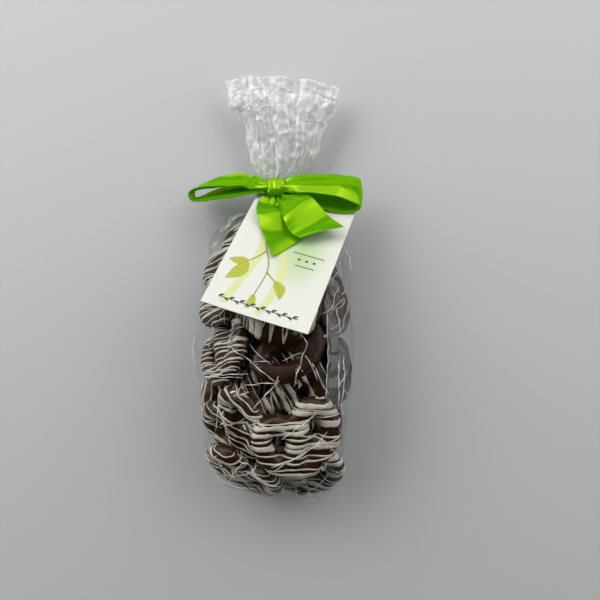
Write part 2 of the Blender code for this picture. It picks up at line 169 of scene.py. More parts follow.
# Lines that cross the rest: (which pretzel, heading, offset from its middle, width).
CROSSING_LINES = (
    (0, -22.0, 3.0, 0.8),
    (0, 24.0, -6.0, 0.7),
    (2, -52.0, 6.0, 0.8),
    (2, -78.0, -7.0, 0.8),
    (4, 8.0, 2.0, 0.7),
    (5, 60.0, 0.0, 0.8),
    (8, 14.0, 3.0, 0.7),
    (9, 12.0, -2.0, 0.8),
    (9, -14.0, 5.0, 0.7),
    (3, 70.0, 4.0, 0.8),
)
CROSSING_WAVINESS = 0.3
DRIZZLE_SEED = 500
DRIZZLE_STEP = 0.8
DRIZZLE_REACH = 26.0
DRIZZLE_EDGE = 22
DRIZZLE_HEIGHT = 0.34
# A pretzel is seen edge on when its own Z axis rises by less than this.
EDGE_ON = 0.15
# How far a line bends and tilts at most, and where it lands: on what faces up at least so much, above this
# level, and not further than this from its last spot. Shorter runs than this are left out.
DRIZZLE_BEND = 0.006
DRIZZLE_TILT = 0.1
LANDING_SLOPE = 0.25
LANDING_Z = -1.5
LANDING_JUMP = 3.0
SHORTEST_RUN = 4
# How the lines of a pretzel differ: the chance of a wide one, the widths of wide and thin ones and the gaps
# between them as shares of what is listed, and the thin line that often runs beside a wide one.
WIDE_CHANCE = 0.5
WIDE_RANGE = (0.75, 1.15)
THIN_RANGE = (0.8, 1.5)
SPACING_RANGE = (0.35, 0.95)
TWIN_WIDTH = 1.2
TWIN_CHANCE = 0.6
TWIN_GAP = (0.6, 1.1)
TWIN_THINNING = 0.8
# A line down the side of a strand: its steps, its greatest jump, how far out and over what reach the strand
# is felt for, and the lowest and highest levels where it can end.
LIP_STEP = 0.6
LIP_JUMP = 1.8
LIP_FEELER = 3
LIP_REACH = 5.0
LIP_DEPTHS = (-2.6, 0.4)

# The film: rings of the open top as (y, middle x, half width, lowest z, highest z), and the neck.
FAN_RINGS = (
    (88.0, 0.8, 8.5, 2.0, 15.0),
    (94.0, 3.0, 13.5, 1.7, 17.0),
    (103.0, 4.2, 17.5, 1.4, 19.0),
    (112.0, 4.8, 18.8, 1.2, 21.0),
    (119.0, 4.8, 21.2, 1.0, 22.5),
    (126.0, 3.8, 26.8, 0.9, 24.0),
    (137.0, 4.4, 28.8, 0.8, 25.0),
)
# The film stands a little further out than the solid at its left and its right: (y, how far out).
LEFT_BULGES = (
    (-16.0, 0.0),
    (-8.0, 2.2),
    (-1.0, 3.0),
    (5.0, 2.4),
    (12.0, 0.0),
    (44.0, 0.0),
    (52.0, 3.0),
    (60.0, 4.6),
    (66.0, 4.6),
    (71.0, 2.4),
    (76.0, 0.0),
)
RIGHT_BULGES = ((28.0, 0.0), (36.0, 1.9), (47.0, 4.1), (54.0, 3.0), (62.0, 2.0), (70.0, 0.0))
# The film's empty corner beyond the pretzels at the closed end: its middle x, half width and reach, and
# between which places along Y it grows.
END_CORNER = (20.0, 12.0, 5.5)
END_CORNER_SPAN = (-70, -78.5)
# How much further along Y the open mouth reaches at its left than at its middle.
MOUTH_SLANT = 2.4
NECK_Y = 81.0
NECK_RADIUS = 5.0
NECK_Z = 8.0
# How much narrower the film is than the neck, and where the neck starts and ends along Y from its middle.
NECK_SLACK = 0.3
NECK_SPAN = (-5.0, 4.5)
# Towards the neck the body gets rounder, between these places along Y.
ROUNDING = 0.9
ROUNDING_SPAN = (40, 73)
# Pleats round the film, as (how many, phase, depth): the body's grow between these places, the open top's
# between the neck and this far beyond it. The top's are drawn in as a whole.
BODY_PLEATS = ((17, 0.0, 0.05), (31, 0.3, 0.03))
TOP_PLEATS = ((9, 0.1, 0.10), (21, 0.0, 0.06), (37, 0.0, 0.03))
BODY_PLEAT_SPAN = (44, 70)
TOP_PLEAT_REACH = 22
TOP_DRAWN_IN = 0.1
# The film's grid: the segments round it, where it starts, the steps between its rings on the body, the neck
# and the open top, and the rings, bulge and inner core of the closed end.
FILM_SEGMENTS = 216
FILM_END_Y = -77.5
RING_STEPS = (1.05, 0.9, 0.8)
CAP_RINGS = 26
CAP_DEPTH = 0.5
CAP_CORE = 0.7
CAP_EASE = 8
# How the film sinks onto the pretzels: how steeply, how deep at most and until where along Y, how far out
# the feeling for them starts, and how often what is felt is passed on to the neighbours and smoothed.
FILM_SLOPE = 0.4
FILM_SINK = 13.0
SINK_SPAN = (64, 50)
FILM_REACH = 8.0
SINK_ROUNDS = 30
SINK_SMOOTHINGS = 3
FILM_CLEARANCE = 0.35
# It hardly sinks over the hollow fold at the right, nor along both sides: how deep at most, where along Y,
# and how much the film has to face sideways there.
HOLLOW_SINK = 0.3
HOLLOW_SPAN = (-32, 20)
HOLLOW_EASE = 8
HOLLOW_FACING = 0.5
HOLLOW_FACING_EASE = 0.1
SIDE_SINK = 1.6
SIDE_SPAN = (-56, 46)
SIDE_FACING = 0.8
SHOULDER_FACING = 0.5
# Where along Y the film turns from smooth to bunched.
BUNCHING_SPAN = (66, 76)
# The film's facets, as (fineness, offset of the pattern, depth on the body, depth on the open top), in a
# pattern that is stretched along Y. The folds between them stand out by the rises below. The body's facets
# are made flatter by a share and fade out between their places along Y, and the open top's fade in.
FACETS = (
    (0.07, (0, 0, 0), 0.5, 1.8),
    (0.17, (9, 4, 2), 0.5, 1.5),
    (0.36, (2, 7, 5), 0.3, 0.7),
)
FACET_STRETCH = 0.6
BODY_FACET_RISE = 0.5
BODY_FACET_SHARE = 0.8
TOP_FACET_RISE = 2.1
BODY_FACET_SPAN = (62, 72)
TOP_FACET_SPAN = (84, 96)
# The flap along the right: its edges across, where it runs along, its lift, how milky it is at its edges,
# and between which places along Y it clears, to what share.
FLAP_EDGES = (24.8, 36.0)
FLAP_SPAN = (-28.0, 44.0)
FLAP_GRID = (15, 56)
FLAP_LIFT = 0.3
FLAP_SWAY = 0.8
FLAP_HAZE = (0.30, 0.2)
FLAP_CLEARS = (5.0, 15.0)
FLAP_CLEARED = 0.3

# Long folds in the film's top side: (width, spots across and along in the order the fold runs).
FOLDS = (
    (0.45, ((-17.8, 14.3), (-21.1, 2.6), (-10.8, -4.4), (1.8, -14.7))),
    (0.42, ((13.4, 8.2), (15.8, 3.5), (11.1, -10.5), (10.2, -17.5))),
    (0.38, ((-31.8, -10.9), (-21.0, -11.2), (-10.8, -10.9))),
    (0.30, ((-31.8, -12.4), (-22.0, -12.4), (-12.5, -12.8))),
    (0.42, ((1.8, -14.7), (-7.0, -15.2), (-15.5, -17.0))),
    (0.36, ((1.8, -14.7), (-5.2, -23.1))),
    (0.36, ((1.8, -14.7), (-9.9, -27.7))),
    (0.50, ((-15.5, -17.0), (-16.5, -20.5), (-9.9, -19.5))),
    (0.45, ((20.9, -29.1), (12.0, -35.0), (2.7, -42.2))),
    (0.45, ((23.2, -43.1), (12.0, -49.5), (-1.5, -54.3))),
    (0.34, ((24.7, 23.6), (25.4, 0.0), (24.7, -23.9))),
    (0.75, ((30.6, -4.0), (30.9, -14.0), (30.6, -28.5))),
    (0.75, ((32.9, -2.0), (33.1, -14.0), (32.7, -28.0))),
    (0.40, ((-25.0, 18.0), (-23.4, 12.0))),
    (0.40, ((-22.5, 17.5), (-22.8, 11.5))),
    (0.40, ((29.5, 22.0), (31.5, 8.0), (37.0, 1.0))),
    (0.40, ((35.0, -9.0), (31.5, -16.0), (37.5, -24.0))),
    (0.35, ((-34.0, -60.0), (-22.0, -66.0), (-12.0, -70.0))),
    (0.35, ((26.0, -60.0), (20.0, -68.0), (12.0, -72.0))),
    (0.50, ((13.0, -79.6), (18.5, -82.6), (24.0, -81.0))),
    (0.42, ((29.0, -73.0), (25.0, -79.0))),
    (0.45, ((-38.6, 7.0), (-39.8, -1.0), (-38.4, -9.0))),
    (0.40, ((34.0, 52.0), (37.6, 45.0), (38.4, 34.0))),
    (2.6, ((-26.0, 128.6), (-14.0, 130.4), (-3.0, 134.5))),
    (2.6, ((-25.6, 122.6), (-16.0, 123.2), (-8.0, 127.5))),
    (2.4, ((-24.6, 133.6), (-14.5, 135.0))),
    (1.6, ((-8.0, 126.0), (2.0, 130.5), (12.0, 130.0))),
    (0.9, ((12.0, 132.5), (22.0, 129.5), (32.0, 127.5))),
    (0.9, ((-13.0, 120.0), (-3.0, 123.0), (6.0, 121.0))),
    (1.0, ((10.0, 114.0), (18.0, 117.0), (26.0, 116.0))),
)
# Spots where the film is crushed, its short folds painted white as glints, as (across, along, size).
CRUSHED_GLINT_SPOTS = (
    (-17.5, -19.5, 3.4),
    (-12.5, -20.6, 2.6),
    (-14.5, -51.0, 3.6),
    (26.5, -47.0, 2.4),
    (23.5, -56.0, 3.0),
    (1.8, -14.7, 2.0),
    (12.5, -9.0, 2.4),
    (15.5, -12.5, 2.0),
    (-24.5, -31.0, 2.8),
    (-21.0, -27.0, 2.0),
    (33.0, -8.0, 2.4),
    (-27.0, -55.0, 2.6),
    (-31.0, 2.0, 2.4),
    (33.0, -30.0, 2.2),
    (6.0, -69.0, 2.4),
    (-8.0, -34.0, 1.8),
)
CRUSH_LINES = 7
CRUSH_WIDTHS = (0.3, 0.8)
CRUSH_TURN = 0.7
CRUSH_LENGTHS = (0.4, 1.1)
CRUSH_SPREAD = 0.6
# Painted glints: small white strips on the film, as (across, along, heading in degrees, length, width).
PAINTED_GLINTS = (
    (-18.4, -19.2, 10.0, 3.2, 1.6),
    (-13.6, -53.4, -16.0, 6.0, 1.5),
    (-11.0, -54.6, -30.0, 3.6, 0.9),
    (29.0, -48.4, 70.0, 2.6, 1.3),
    (2.6, -12.0, 80.0, 2.2, 1.0),
    (12.6, -16.4, 75.0, 2.4, 0.9),
    (-24.2, -34.4, 30.0, 2.6, 1.0),
    (-13.0, -36.0, -60.0, 2.8, 0.8),
    (15.4, -3.0, -50.0, 2.8, 0.7),
    (18.6, -6.4, -62.0, 2.6, 0.8),
    (20.4, -10.0, -70.0, 3.0, 0.6),
    (23.6, -55.6, 24.0, 4.0, 1.0),
    (-27.4, -50.4, 50.0, 2.6, 0.9),
    (-30.0, 52.0, 40.0, 4.0, 1.4),
)
# The open top's many broad white folds are painted shine of its crumples.
# Short folds that wander over the body and the open top: (how many, most steps, greatest width).
BODY_LOOSE_FOLDS = (60, 24, 0.42)
TOP_LOOSE_FOLDS = (260, 7, 2.0)
TOP_LOOSE_START = 90
LOOSE_FOLD_THINNEST = 0.25
LOOSE_FOLD_FEWEST = 4
# Folds that run out of the neck: how many, where they start from its middle, how thin and short at least,
# and towards the body and the open top the way along Y, the greatest width and the greatest length.
NECK_FOLDS = 34
NECK_FOLD_START = 6
NECK_FOLD_THINNEST = 0.3
NECK_FOLD_SHORTEST = 7
NECK_FOLD_SIDES = ((-1, 0.8, 20), (1, 0.9, 30))
FOLD_SEED = 77
SHORTEST_FOLD = 3
FOLD_STEP = 1.0
FOLD_RISE = 0.16
FOLD_WANDER = 0.8

# The ribbon's turn round the neck: its width, how far its middle lies before the neck's, its gap to the
# film, its thickness, and the height of its folds and of its bulge.
COLLAR_WIDTH = 7.0
COLLAR_BACK = 0.6
COLLAR_GAP = 0.45
COLLAR_THICKNESS = 0.75
COLLAR_FOLD = 0.22
COLLAR_BULGE = 0.25
# The knot: its size, middle and tilt, how square it is, and how deep its waist and grooves are.
KNOT_SIZE = (11.2, 9.4, 6.0)
KNOT_MIDDLE = Vector((0.4, 81.4, 21.8))
KNOT_TILT = 0.4
KNOT_SQUARENESS = 3.6
KNOT_WAIST = 0.10
KNOT_GROOVE = 0.035
# The ribbon's loops and tails, in rows of its two edges, as in the solids but run on into the knot.
LEFT_LOOP = (
    ((-3.2, 84.4, 19.2), (-3.0, 80.0, 24.8)),
    ((-10.0, 88.9, 14.0), (-9.6, 80.2, 25.5)),
    ((-16.6, 90.8, 12.0), (-16.4, 81.6, 25.5)),
    ((-24.7, 90.7, 11.0), (-24.2, 81.8, 24.5)),
    ((-32.8, 88.2, 10.0), (-31.9, 81.6, 24.0)),
    ((-38.9, 85.9, 9.0), (-38.2, 81.4, 23.0)),
    ((-42.7, 83.6, 8.5), (-43.6, 79.7, 22.5)),
    ((-44.0, 80.5, 8.0), (-44.8, 77.0, 22.0)),
    ((-42.8, 78.2, 8.0), (-42.7, 74.5, 22.0)),
    ((-38.9, 79.7, 8.5), (-37.2, 74.2, 22.5)),
    ((-34.0, 82.0, 9.0), (-31.1, 75.2, 22.5)),
    ((-25.9, 84.4, 10.0), (-22.8, 76.1, 23.0)),
    ((-16.7, 85.0, 11.5), (-15.0, 77.4, 24.0)),
    ((-10.4, 84.4, 15.6), (-9.4, 78.4, 24.5)),
    ((-3.2, 82.4, 19.8), (-3.2, 78.8, 23.0)),
)
RIGHT_LOOP = (
    ((3.6, 84.4, 20.4), (3.8, 79.0, 25.6)),
    ((10.4, 87.8, 20.0), (11.0, 77.6, 30.0)),
    ((17.7, 88.5, 20.0), (18.5, 77.1, 31.0)),
    ((25.4, 88.3, 20.0), (26.5, 75.9, 31.0)),
    ((33.2, 87.9, 20.0), (33.5, 74.4, 30.5)),
    ((39.4, 87.3, 20.0), (39.0, 72.7, 29.8)),
    ((43.4, 86.0, 19.6), (42.4, 71.0, 29.0)),
    ((43.6, 82.6, 17.2), (42.4, 69.2, 26.6)),
    ((39.1, 81.0, 17.0), (37.8, 67.8, 26.2)),
    ((32.4, 81.6, 16.8), (31.7, 67.8, 26.2)),
    ((25.5, 82.5, 17.0), (25.1, 69.3, 26.2)),
    ((17.7, 83.4, 17.8), (17.6, 72.1, 26.2)),
    ((10.9, 83.2, 18.2), (11.0, 74.8, 25.2)),
    ((3.6, 82.4, 18.4), (3.8, 77.8, 22.8)),
)
LEFT_TAIL = (
    ((-3.8, 80.0, 20.4), (2.4, 78.4, 20.8)),
    ((-6.4, 76.8, 22.6), (2.8, 74.8, 23.0)),
    ((-8.9, 73.4, 25.2), (2.9, 71.1, 24.8)),
    ((-9.2, 67.3, 31.2), (6.0, 68.3, 28.2)),
    ((-7.0, 60.3, 35.3), (9.0, 62.8, 31.7)),
    ((-3.9, 52.5, 40.0), (12.0, 57.7, 35.1)),
    ((-1.0, 44.2, 44.9), (14.5, 54.5, 37.4)),
)
RIGHT_TAIL = (
    ((4.0, 79.0, 21.8), (0.6, 77.4, 22.2)),
    ((6.6, 77.2, 24.4), (0.2, 74.4, 24.8)),
    ((11.0, 77.0, 27.2), (2.2, 70.3, 28.6)),
    ((16.8, 75.5, 29.2), (3.9, 64.5, 34.3)),
    ((21.9, 70.5, 32.0), (6.4, 58.9, 37.8)),
    ((27.0, 65.1, 35.2), (9.1, 56.0, 40.0)),
    ((33.6, 59.1, 39.1), (12.2, 53.5, 42.0)),
)
# Lengthwise creases: (share across, depth, half width, where it starts, where it ends), and ripples
# across the ribbon: (share along, lift, width).
LEFT_LOOP_CREASES = ((0.45, -0.9, 0.3, 0.0, 0.14), (0.6, -0.6, 0.25, 0.84, 1.0))
LEFT_LOOP_RIPPLES = ((0.13, 1.1, 2.2), (0.24, 0.4, 4.0))
RIGHT_LOOP_CREASES = ((0.42, -2.6, 0.34, 0.0, 0.42), (0.8, -0.5, 0.2, 0.1, 0.4))
RIGHT_LOOP_RIPPLES = ((0.33, 0.5, 4.0),)
LEFT_TAIL_CREASES = ((0.5, -1.0, 0.3, 0.0, 0.4), (0.2, 0.6, 0.2, 0.0, 0.5))
LEFT_TAIL_RIPPLES = ((0.1, -0.5, 3.5), (0.4, -0.8, 4.0), (0.68, 0.8, 5.0))
RIGHT_TAIL_CREASES = ((0.6, -1.3, 0.28, 0.0, 0.5), (0.25, 0.8, 0.22, 0.0, 0.4))
RIGHT_TAIL_RIPPLES = ((0.09, -0.6, 3.5), (0.5, 1.1, 4.5), (0.8, -0.8, 4.0))
# How far the ribbon bulges between its edges, at these shares of its length.
CROWN_PLACES = (0.0, 0.36, 0.5, 1.0)
LOOP_CROWN = (2.4, 2.4, 0.8, 0.8)
TAIL_CROWN = (1.0, 1.0, 1.0, 1.0)
# The pleats that the knot gathers the ribbon into: how many, how high, and how far from the knot.
PLEAT_COUNT = 2.5
PLEAT_HEIGHT = 0.55
PLEAT_REACH = 9.0
RIBBON_COLUMNS = 20
LOOP_ROWS = 96
TAIL_ROWS = 48
RIBBON_WIDTH = 16.0
RIBBON_THICKNESS = 0.45

# The card tag: its lower left corner, the heading of its lower edge, and roughly that of its side.
TAG_WIDTH = 51.0
TAG_LENGTH = 80.0
TAG_THICKNESS = 0.45
TAG_CORNER = Vector((-32.3, 23.3, 60.0))
TAG_ALONG_EDGE = Vector((0.947, -0.287, 0.147))
TAG_UP_SIDE = Vector((0.319, 0.767, -0.557))
TAG_BEND = 0.5

# The print on the tag, in places from the lower left corner along the lower edge and up the side.
PALE_YELLOW = (0.70, 0.74, 0.34)
LEAF_GREEN = (0.46, 0.49, 0.035)
OLIVE = (0.30, 0.33, 0.04)
INK_GREY = (0.045, 0.05, 0.045)
VEILS = (
    ((9, 72), (10, 56), (15, 40), (13, 22), (9, 3)),
    ((22, 70), (20, 50), (28, 32), (29, 16), (26, 2)),
)
STEMS = (
    ((15, 74), (12, 58), (16, 42), (22, 28), (21, 10)),
    ((18, 38), (14, 32), (11, 29)),
    ((22, 26), (26, 23), (28, 22)),
)
LEAVES = (
    ((11.5, 29.5), (5.0, 16.0), 6.5),
    ((11.0, 30.0), (2.5, 27.5), 4.5),
    ((27.5, 22.4), (33.0, 13.0), 5.2),
    ((21.0, 12.0), (19.5, 3.5), 3.6),
)
VEINS = (
    ((11.5, 29.5), (7.0, 23.5), (5.6, 18.0)),
    ((27.5, 22.4), (31.0, 18.5), (32.6, 14.5)),
)
RULES = (
    ((30.0, 42.0), (37.0, 42.0), (45.5, 42.0)),
    ((33.0, 34.6), (37.0, 34.6), (42.5, 34.6)),
    ((6.5, 5.6), (25.0, 5.6), (44.5, 5.6)),
)
DIAMONDS = ((34.0, 38.4), (37.75, 38.4), (41.5, 38.4))
# A border of small dark leaves along the lower edge: where it runs, their number, length and slant.
BORDER_SPAN = (6.5, 44.5)
BORDER_V = 5.6
BORDER_LEAVES = 15
BORDER_LEAF = (2.4, 1.5, 1.1)
# The widths of printed lines at their start and end, the rows of a leaf, the spots of a line, and how far
# the print stands off the card and each shape off the one before.
VEIL_WIDTHS = (5.5, 3.0)
VEIN_WIDTHS = (0.35, 0.15)
STEM_WIDTHS = (0.9, 0.45)
RULE_WIDTHS = (0.4, 0.4)
DIAMOND_SIZE = 0.8
LEAF_ROWS = 15
LINE_SPOTS = 24
PRINT_LIFT = 0.05
PRINT_STEP = 0.004

# The soft lights beyond and beside the bag: name, place, size and power.
LIGHTS = (
    ("window_top", (0.0, 0.85, 0.55), (1.2, 0.7), 4.2),
    ("window_top_left", (-0.6, 0.6, 0.6), (0.7, 0.7), 4.4),
    ("window_top_right", (0.6, 0.6, 0.6), (0.7, 0.7), 2.4),
    ("window_left", (-0.85, 0.15, 0.5), (0.8, 0.8), 3.4),
    ("window_right", (0.85, 0.15, 0.5), (0.8, 0.8), 3.0),
)
ROOM_COLOUR = (0.80, 0.82, 0.82, 1.0)
ROOM_STRENGTH = 0.05
# The camera looks straight down from here, in the layout's millimetres.
CAMERA_PLACE = Vector((12.5, 23.6, 330.0))
CAMERA_LENS = 36.0
CAMERA_SENSOR = 36.0


def deselect():
    if bpy.context.mode != "OBJECT":
        bpy.ops.object.mode_set(mode="OBJECT")
    bpy.ops.object.select_all(action="DESELECT")


def activate(*pieces):
    deselect()
    for piece in pieces:
        piece.select_set(True)
    bpy.context.view_layer.objects.active = pieces[0]


def finish_with(piece, kind, **settings):
    """Adds one modifier and applies it."""
    activate(piece)
    modifier = piece.modifiers.new(kind.lower(), kind)
    for key, value in settings.items():
        setattr(modifier, key, value)
    bpy.ops.object.modifier_apply(modifier=modifier.name)


def join(pieces, name):
    activate(*pieces)
    bpy.ops.object.join()
    joined = bpy.context.active_object
    joined.name = name
    joined.data.name = name
    return joined


def mesh_piece(name, points, faces):
    mesh = bpy.data.meshes.new(name)
    mesh.from_pydata([tuple(p) for p in points], [], faces)
    piece = bpy.data.objects.new(name, mesh)
    bpy.context.scene.collection.objects.link(piece)
    return piece


def mesh_points(piece):
    """The piece's points and their normals, one row each."""
    count = len(piece.data.vertices)
    points, normals = np.empty(count * 3), np.empty(count * 3)
    piece.data.vertices.foreach_get("co", points)
    piece.data.vertex_normals.foreach_get("vector", normals)
    return points.reshape(-1, 3), normals.reshape(-1, 3)


def set_points(piece, points):
    piece.data.vertices.foreach_set("co", points.astype(np.float32).ravel())
    piece.data.update()


def search_tree(piece):
    bm = bmesh.new()
    bm.from_mesh(piece.data)
    tree = BVHTree.FromBMesh(bm)
    bm.free()
    return tree


def stacked(parts):
    """Several (verts, faces) as one."""
    verts, faces = [], []
    for points, sides in parts:
        start = len(verts)
        verts += points
        faces += [tuple(start + k for k in side) for side in sides]
    return verts, faces


def lay_uvs(piece, uvs):
    """Gives each vertex its place on the flat sheet."""
    layer = piece.data.uv_layers.active or piece.data.uv_layers.new(name="UVMap")
    for loop in piece.data.loops:
        layer.data[loop.index].uv = uvs[loop.vertex_index]


def share_between(value, zero_at, one_at):
    """How far value lies on its way from zero_at to one_at, from 0 to 1."""
    return np.clip((value - zero_at) / (one_at - zero_at), 0, 1)


def to_frame(piece):
    """Takes a finished mesh from the layout's millimetres to the frame's metres."""
    piece.data.transform(Matrix.Scale(MM, 4) @ Matrix.Translation(-MIDDLE))


def set_material(piece, look):
    piece.data.materials.clear()
    piece.data.materials.append(look)


def smooth_by_angle(piece, degrees):
    activate(piece)
    bpy.ops.object.shade_smooth_by_angle(angle=math.radians(degrees))


def smooth_path(points, count):
    """count points, evenly spaced, on a smooth curve through the given ones."""
    steps_between = 24
    knots = np.array(points, float)
    ends = np.vstack([2 * knots[0] - knots[1], knots, 2 * knots[-1] - knots[-2]])
    fine = []
    for i in range(len(knots) - 1):
        a, b, c, d = ends[i : i + 4]
        square, cube = 2 * a - 5 * b + 4 * c - d, 3 * b - a - 3 * c + d
        for t in np.linspace(0, 1, steps_between, endpoint=False):
            fine.append(0.5 * (2 * b + (c - a) * t + square * t**2 + cube * t**3))
    fine = np.array([*fine, knots[-1]])
    reach = np.concatenate([[0], np.cumsum(np.linalg.norm(np.diff(fine, axis=0), axis=1))])
    wanted = np.linspace(0, reach[-1], count)
    return np.column_stack([np.interp(wanted, reach, fine[:, k]) for k in range(fine.shape[1])])


# The places of the pretzels


def half_strand_path(mirrored, count):
    path = smooth_path(HALF_STRAND, count)
    if mirrored:
        path = path * np.array([-1.0, 1.0, -1.0])
    return path


def facing_matrix(facing, lean, spin):
    across = Vector((-math.sin(math.radians(facing)), math.cos(math.radians(facing)), 0))
    return Matrix.Rotation(math.radians(lean), 3, across) @ Matrix.Rotation(math.radians(spin), 3, "Z")


def keep_inside(points):
    """How far each strand point has to move to stay inside the bag."""
    ys = [ring[0] for ring in BAG_RINGS]
    x, y, z = points.T
    y_kept = np.clip(y, ys[0] + STRAND_RADIUS + END_GAP, ys[-2] - STRAND_RADIUS)
    middle, half, low, high = (np.interp(y_kept, ys, [ring[k] for ring in BAG_RINGS]) for k in range(1, 5))
    half = half - STRAND_RADIUS
    low = low + STRAND_RADIUS * STRAND_FLATNESS
    high = high - STRAND_RADIUS
    centre, rise = (low + high) / 2, (high - low) / 2
    across, up = np.abs((x - middle) / half), np.abs((z - centre) / rise)
    out = np.maximum((across**BODY_SQUARENESS + up**BODY_SQUARENESS) ** (1 / BODY_SQUARENESS), 1)
    return np.column_stack([middle + (x - middle) / out - x, y_kept - y, centre + (z - centre) / out - z])


def settled_pretzels():
    """The pretzels' places after a rule has moved touching ones apart, as (3x3 turn, middle) pairs."""
    listed = SHOWN_PRETZELS + HIDDEN_PRETZELS
    turns = [np.array(facing_matrix(*row[3:])) for row in listed]
    middles = [np.array(row[:3], float) for row in listed]
    share = [SHOWN_SHARE] * len(SHOWN_PRETZELS) + [HIDDEN_SHARE] * len(HIDDEN_PRETZELS)
    right, left = (half_strand_path(mirrored, CONTACT_POINTS) for mirrored in (False, True))
    strand = np.vstack([right, left, HOLE_SPOTS])
    apart = 2 * STRAND_RADIUS * STRAND_FLATNESS
    numbers = range(len(listed))
    for _ in range(SETTLE_SWEEPS):
        for i in numbers:
            mine = strand @ turns[i].T + middles[i]
            others = [j for j in numbers if j != i and np.linalg.norm(middles[j] - middles[i]) < REACH]
            others = np.vstack([strand @ turns[j].T + middles[j] for j in others])
            gap = mine[:, None, :] - others[None, :, :]
            distance = np.linalg.norm(gap, axis=2)
            near = distance < apart
            push = (gap / distance[..., None] * ((apart - distance) * near)[..., None]).sum(axis=1)
            push = push / np.maximum(near.sum(axis=1), 1)[:, None] * share[i] + keep_inside(mine)
            moving = np.linalg.norm(push, axis=1) > 0
            if not moving.any():
                continue
            arm = mine - middles[i]
            middles[i] = middles[i] + push[moving].mean(axis=0)
            twist = np.cross(arm, push).sum(axis=0) / (arm**2).sum()
            angle = float(np.linalg.norm(twist))
            if angle > 0:
                turns[i] = np.array(Matrix.Rotation(angle, 3, Vector(twist / angle))) @ turns[i]
    return list(zip(turns, middles))


# The pretzels


def strand_tube(path, radii):
    """One half of the pretzel as a tube, drawn as a bevelled path."""
    deselect()
    bpy.ops.curve.primitive_nurbs_path_add(radius=1.0, location=(0, 0, 0))
    drawn = bpy.context.active_object
    drawn.data.splines.clear()
    spline = drawn.data.splines.new("POLY")
    spline.points.add(len(path) - 1)
    for point, place, radius in zip(spline.points, path, radii):
        point.co = (*place, 1.0)
        point.radius = radius
    drawn.data.bevel_depth = STRAND_RADIUS + SMOOTHING_LOSS
    drawn.data.bevel_resolution = 4
    drawn.data.use_fill_caps = True
    bpy.ops.object.convert(target="MESH")
    return bpy.context.active_object


def pretzel_variant(number):
    """A coated pretzel: its strands under one skin that fills the corners, on the flat foot it set on."""
    draw = random.Random(VARIANT_SEED + number)
    halves = []
    for mirrored in (False, True):
        path = half_strand_path(mirrored, PATH_POINTS)
        sway = [Vector((draw.uniform(-1, 1), draw.uniform(-1, 1), 0)) for _ in range(SWAY_POINTS)]
        sway = smooth_path([tuple(s * POINT_JITTER) for s in sway], PATH_POINTS)
        swell = [(draw.uniform(*SWELL_RANGE), i, 0) for i in range(SWELL_POINTS)]
        swell = smooth_path(swell, PATH_POINTS)[:, 0]
        swell[0] *= END_THINNING
        halves.append(strand_tube(path + sway, swell))
    body = join(halves, "pretzel")
    body.data.transform(Matrix.Diagonal((1, 1, STRAND_FLATNESS, 1)))
    finish_with(body, "DISPLACE", strength=CORNER_FILL, mid_level=0.0)
    finish_with(body, "REMESH", mode="VOXEL", voxel_size=COATING_VOXEL)
    finish_with(body, "SMOOTH", factor=0.5, iterations=6)
    finish_with(body, "DISPLACE", strength=-CORNER_FILL, mid_level=0.0)
    finish_with(body, "REMESH", mode="VOXEL", voxel_size=COATING_VOXEL)
    finish_with(body, "SMOOTH", factor=0.5, iterations=8)
    offset = Vector((37.0 * number, 11.0, 5.0))
    points, normals = mesh_points(body)
    rises = []
    for p in points:
        rises.append(sum(noise.noise(Vector(p) * fineness + offset) * rise for fineness, rise in LUMPS))
    points = points + normals * np.array(rises)[:, None]
    foot = points[:, 2] < FOOT_Z
    points[foot, 2] = FOOT_Z + (points[foot, 2] - FOOT_Z) * FOOT_ROUNDING
    set_points(body, points)
    finish_with(body, "DECIMATE", ratio=PRETZEL_FACES / (2 * len(body.data.polygons)))
    body.data.shade_smooth()
    return body


def place_matrix(place):
    turn, middle = place
    return Matrix.Translation(middle) @ Matrix(turn.tolist()).to_4x4()


def copy_of(model, matrix, name):
    piece = bpy.data.objects.new(name, model.data.copy())
    bpy.context.scene.collection.objects.link(piece)
    piece.data.transform(matrix)
    return piece


# The drizzle


def swept(points, ups, widths, heights, section):
    """A closed band along points, each with its own up, width and height, in the given cross section."""
    verts, faces = [], []
    count, size = len(points), len(section)
    for i, point in enumerate(points):
        ahead = points[min(i + 1, count - 1)] - points[max(i - 1, 0)]
        side = ahead.cross(ups[i]).normalized()
        for across, rise in section:
            verts.append(point + side * (across * widths[i]) + ups[i] * (rise * heights[i]))
    for i in range(count - 1):
        for k in range(size):
            after = (k + 1) % size
            faces.append((i * size + k, i * size + after, (i + 1) * size + after, (i + 1) * size + k))
    faces.append(tuple(range(size)))
    faces.append(tuple(range((count - 1) * size + size - 1, (count - 1) * size - 1, -1)))
    return verts, faces


DRIZZLE_SECTION = (
    (-0.5, -0.7),
    (-0.5, 0.1),
    (-0.32, 0.72),
    (0.0, 1.0),
    (0.32, 0.72),
    (0.5, 0.1),
    (0.5, -0.7),
)


def lip(tree, place, outward, depth):
    """Where a drizzled line runs on down the side of a strand: (place, up) pairs."""
    run = []
    z = place.z
    while z > depth:
        z -= LIP_STEP
        beside = Vector((place.x, place.y, z)) + outward * LIP_FEELER
        hit, normal, _, _ = tree.ray_cast(beside, -outward, LIP_REACH)
        if hit is None or (hit - place).length > LIP_JUMP:
            break
        run.append((hit, normal))
        place = hit
    return run


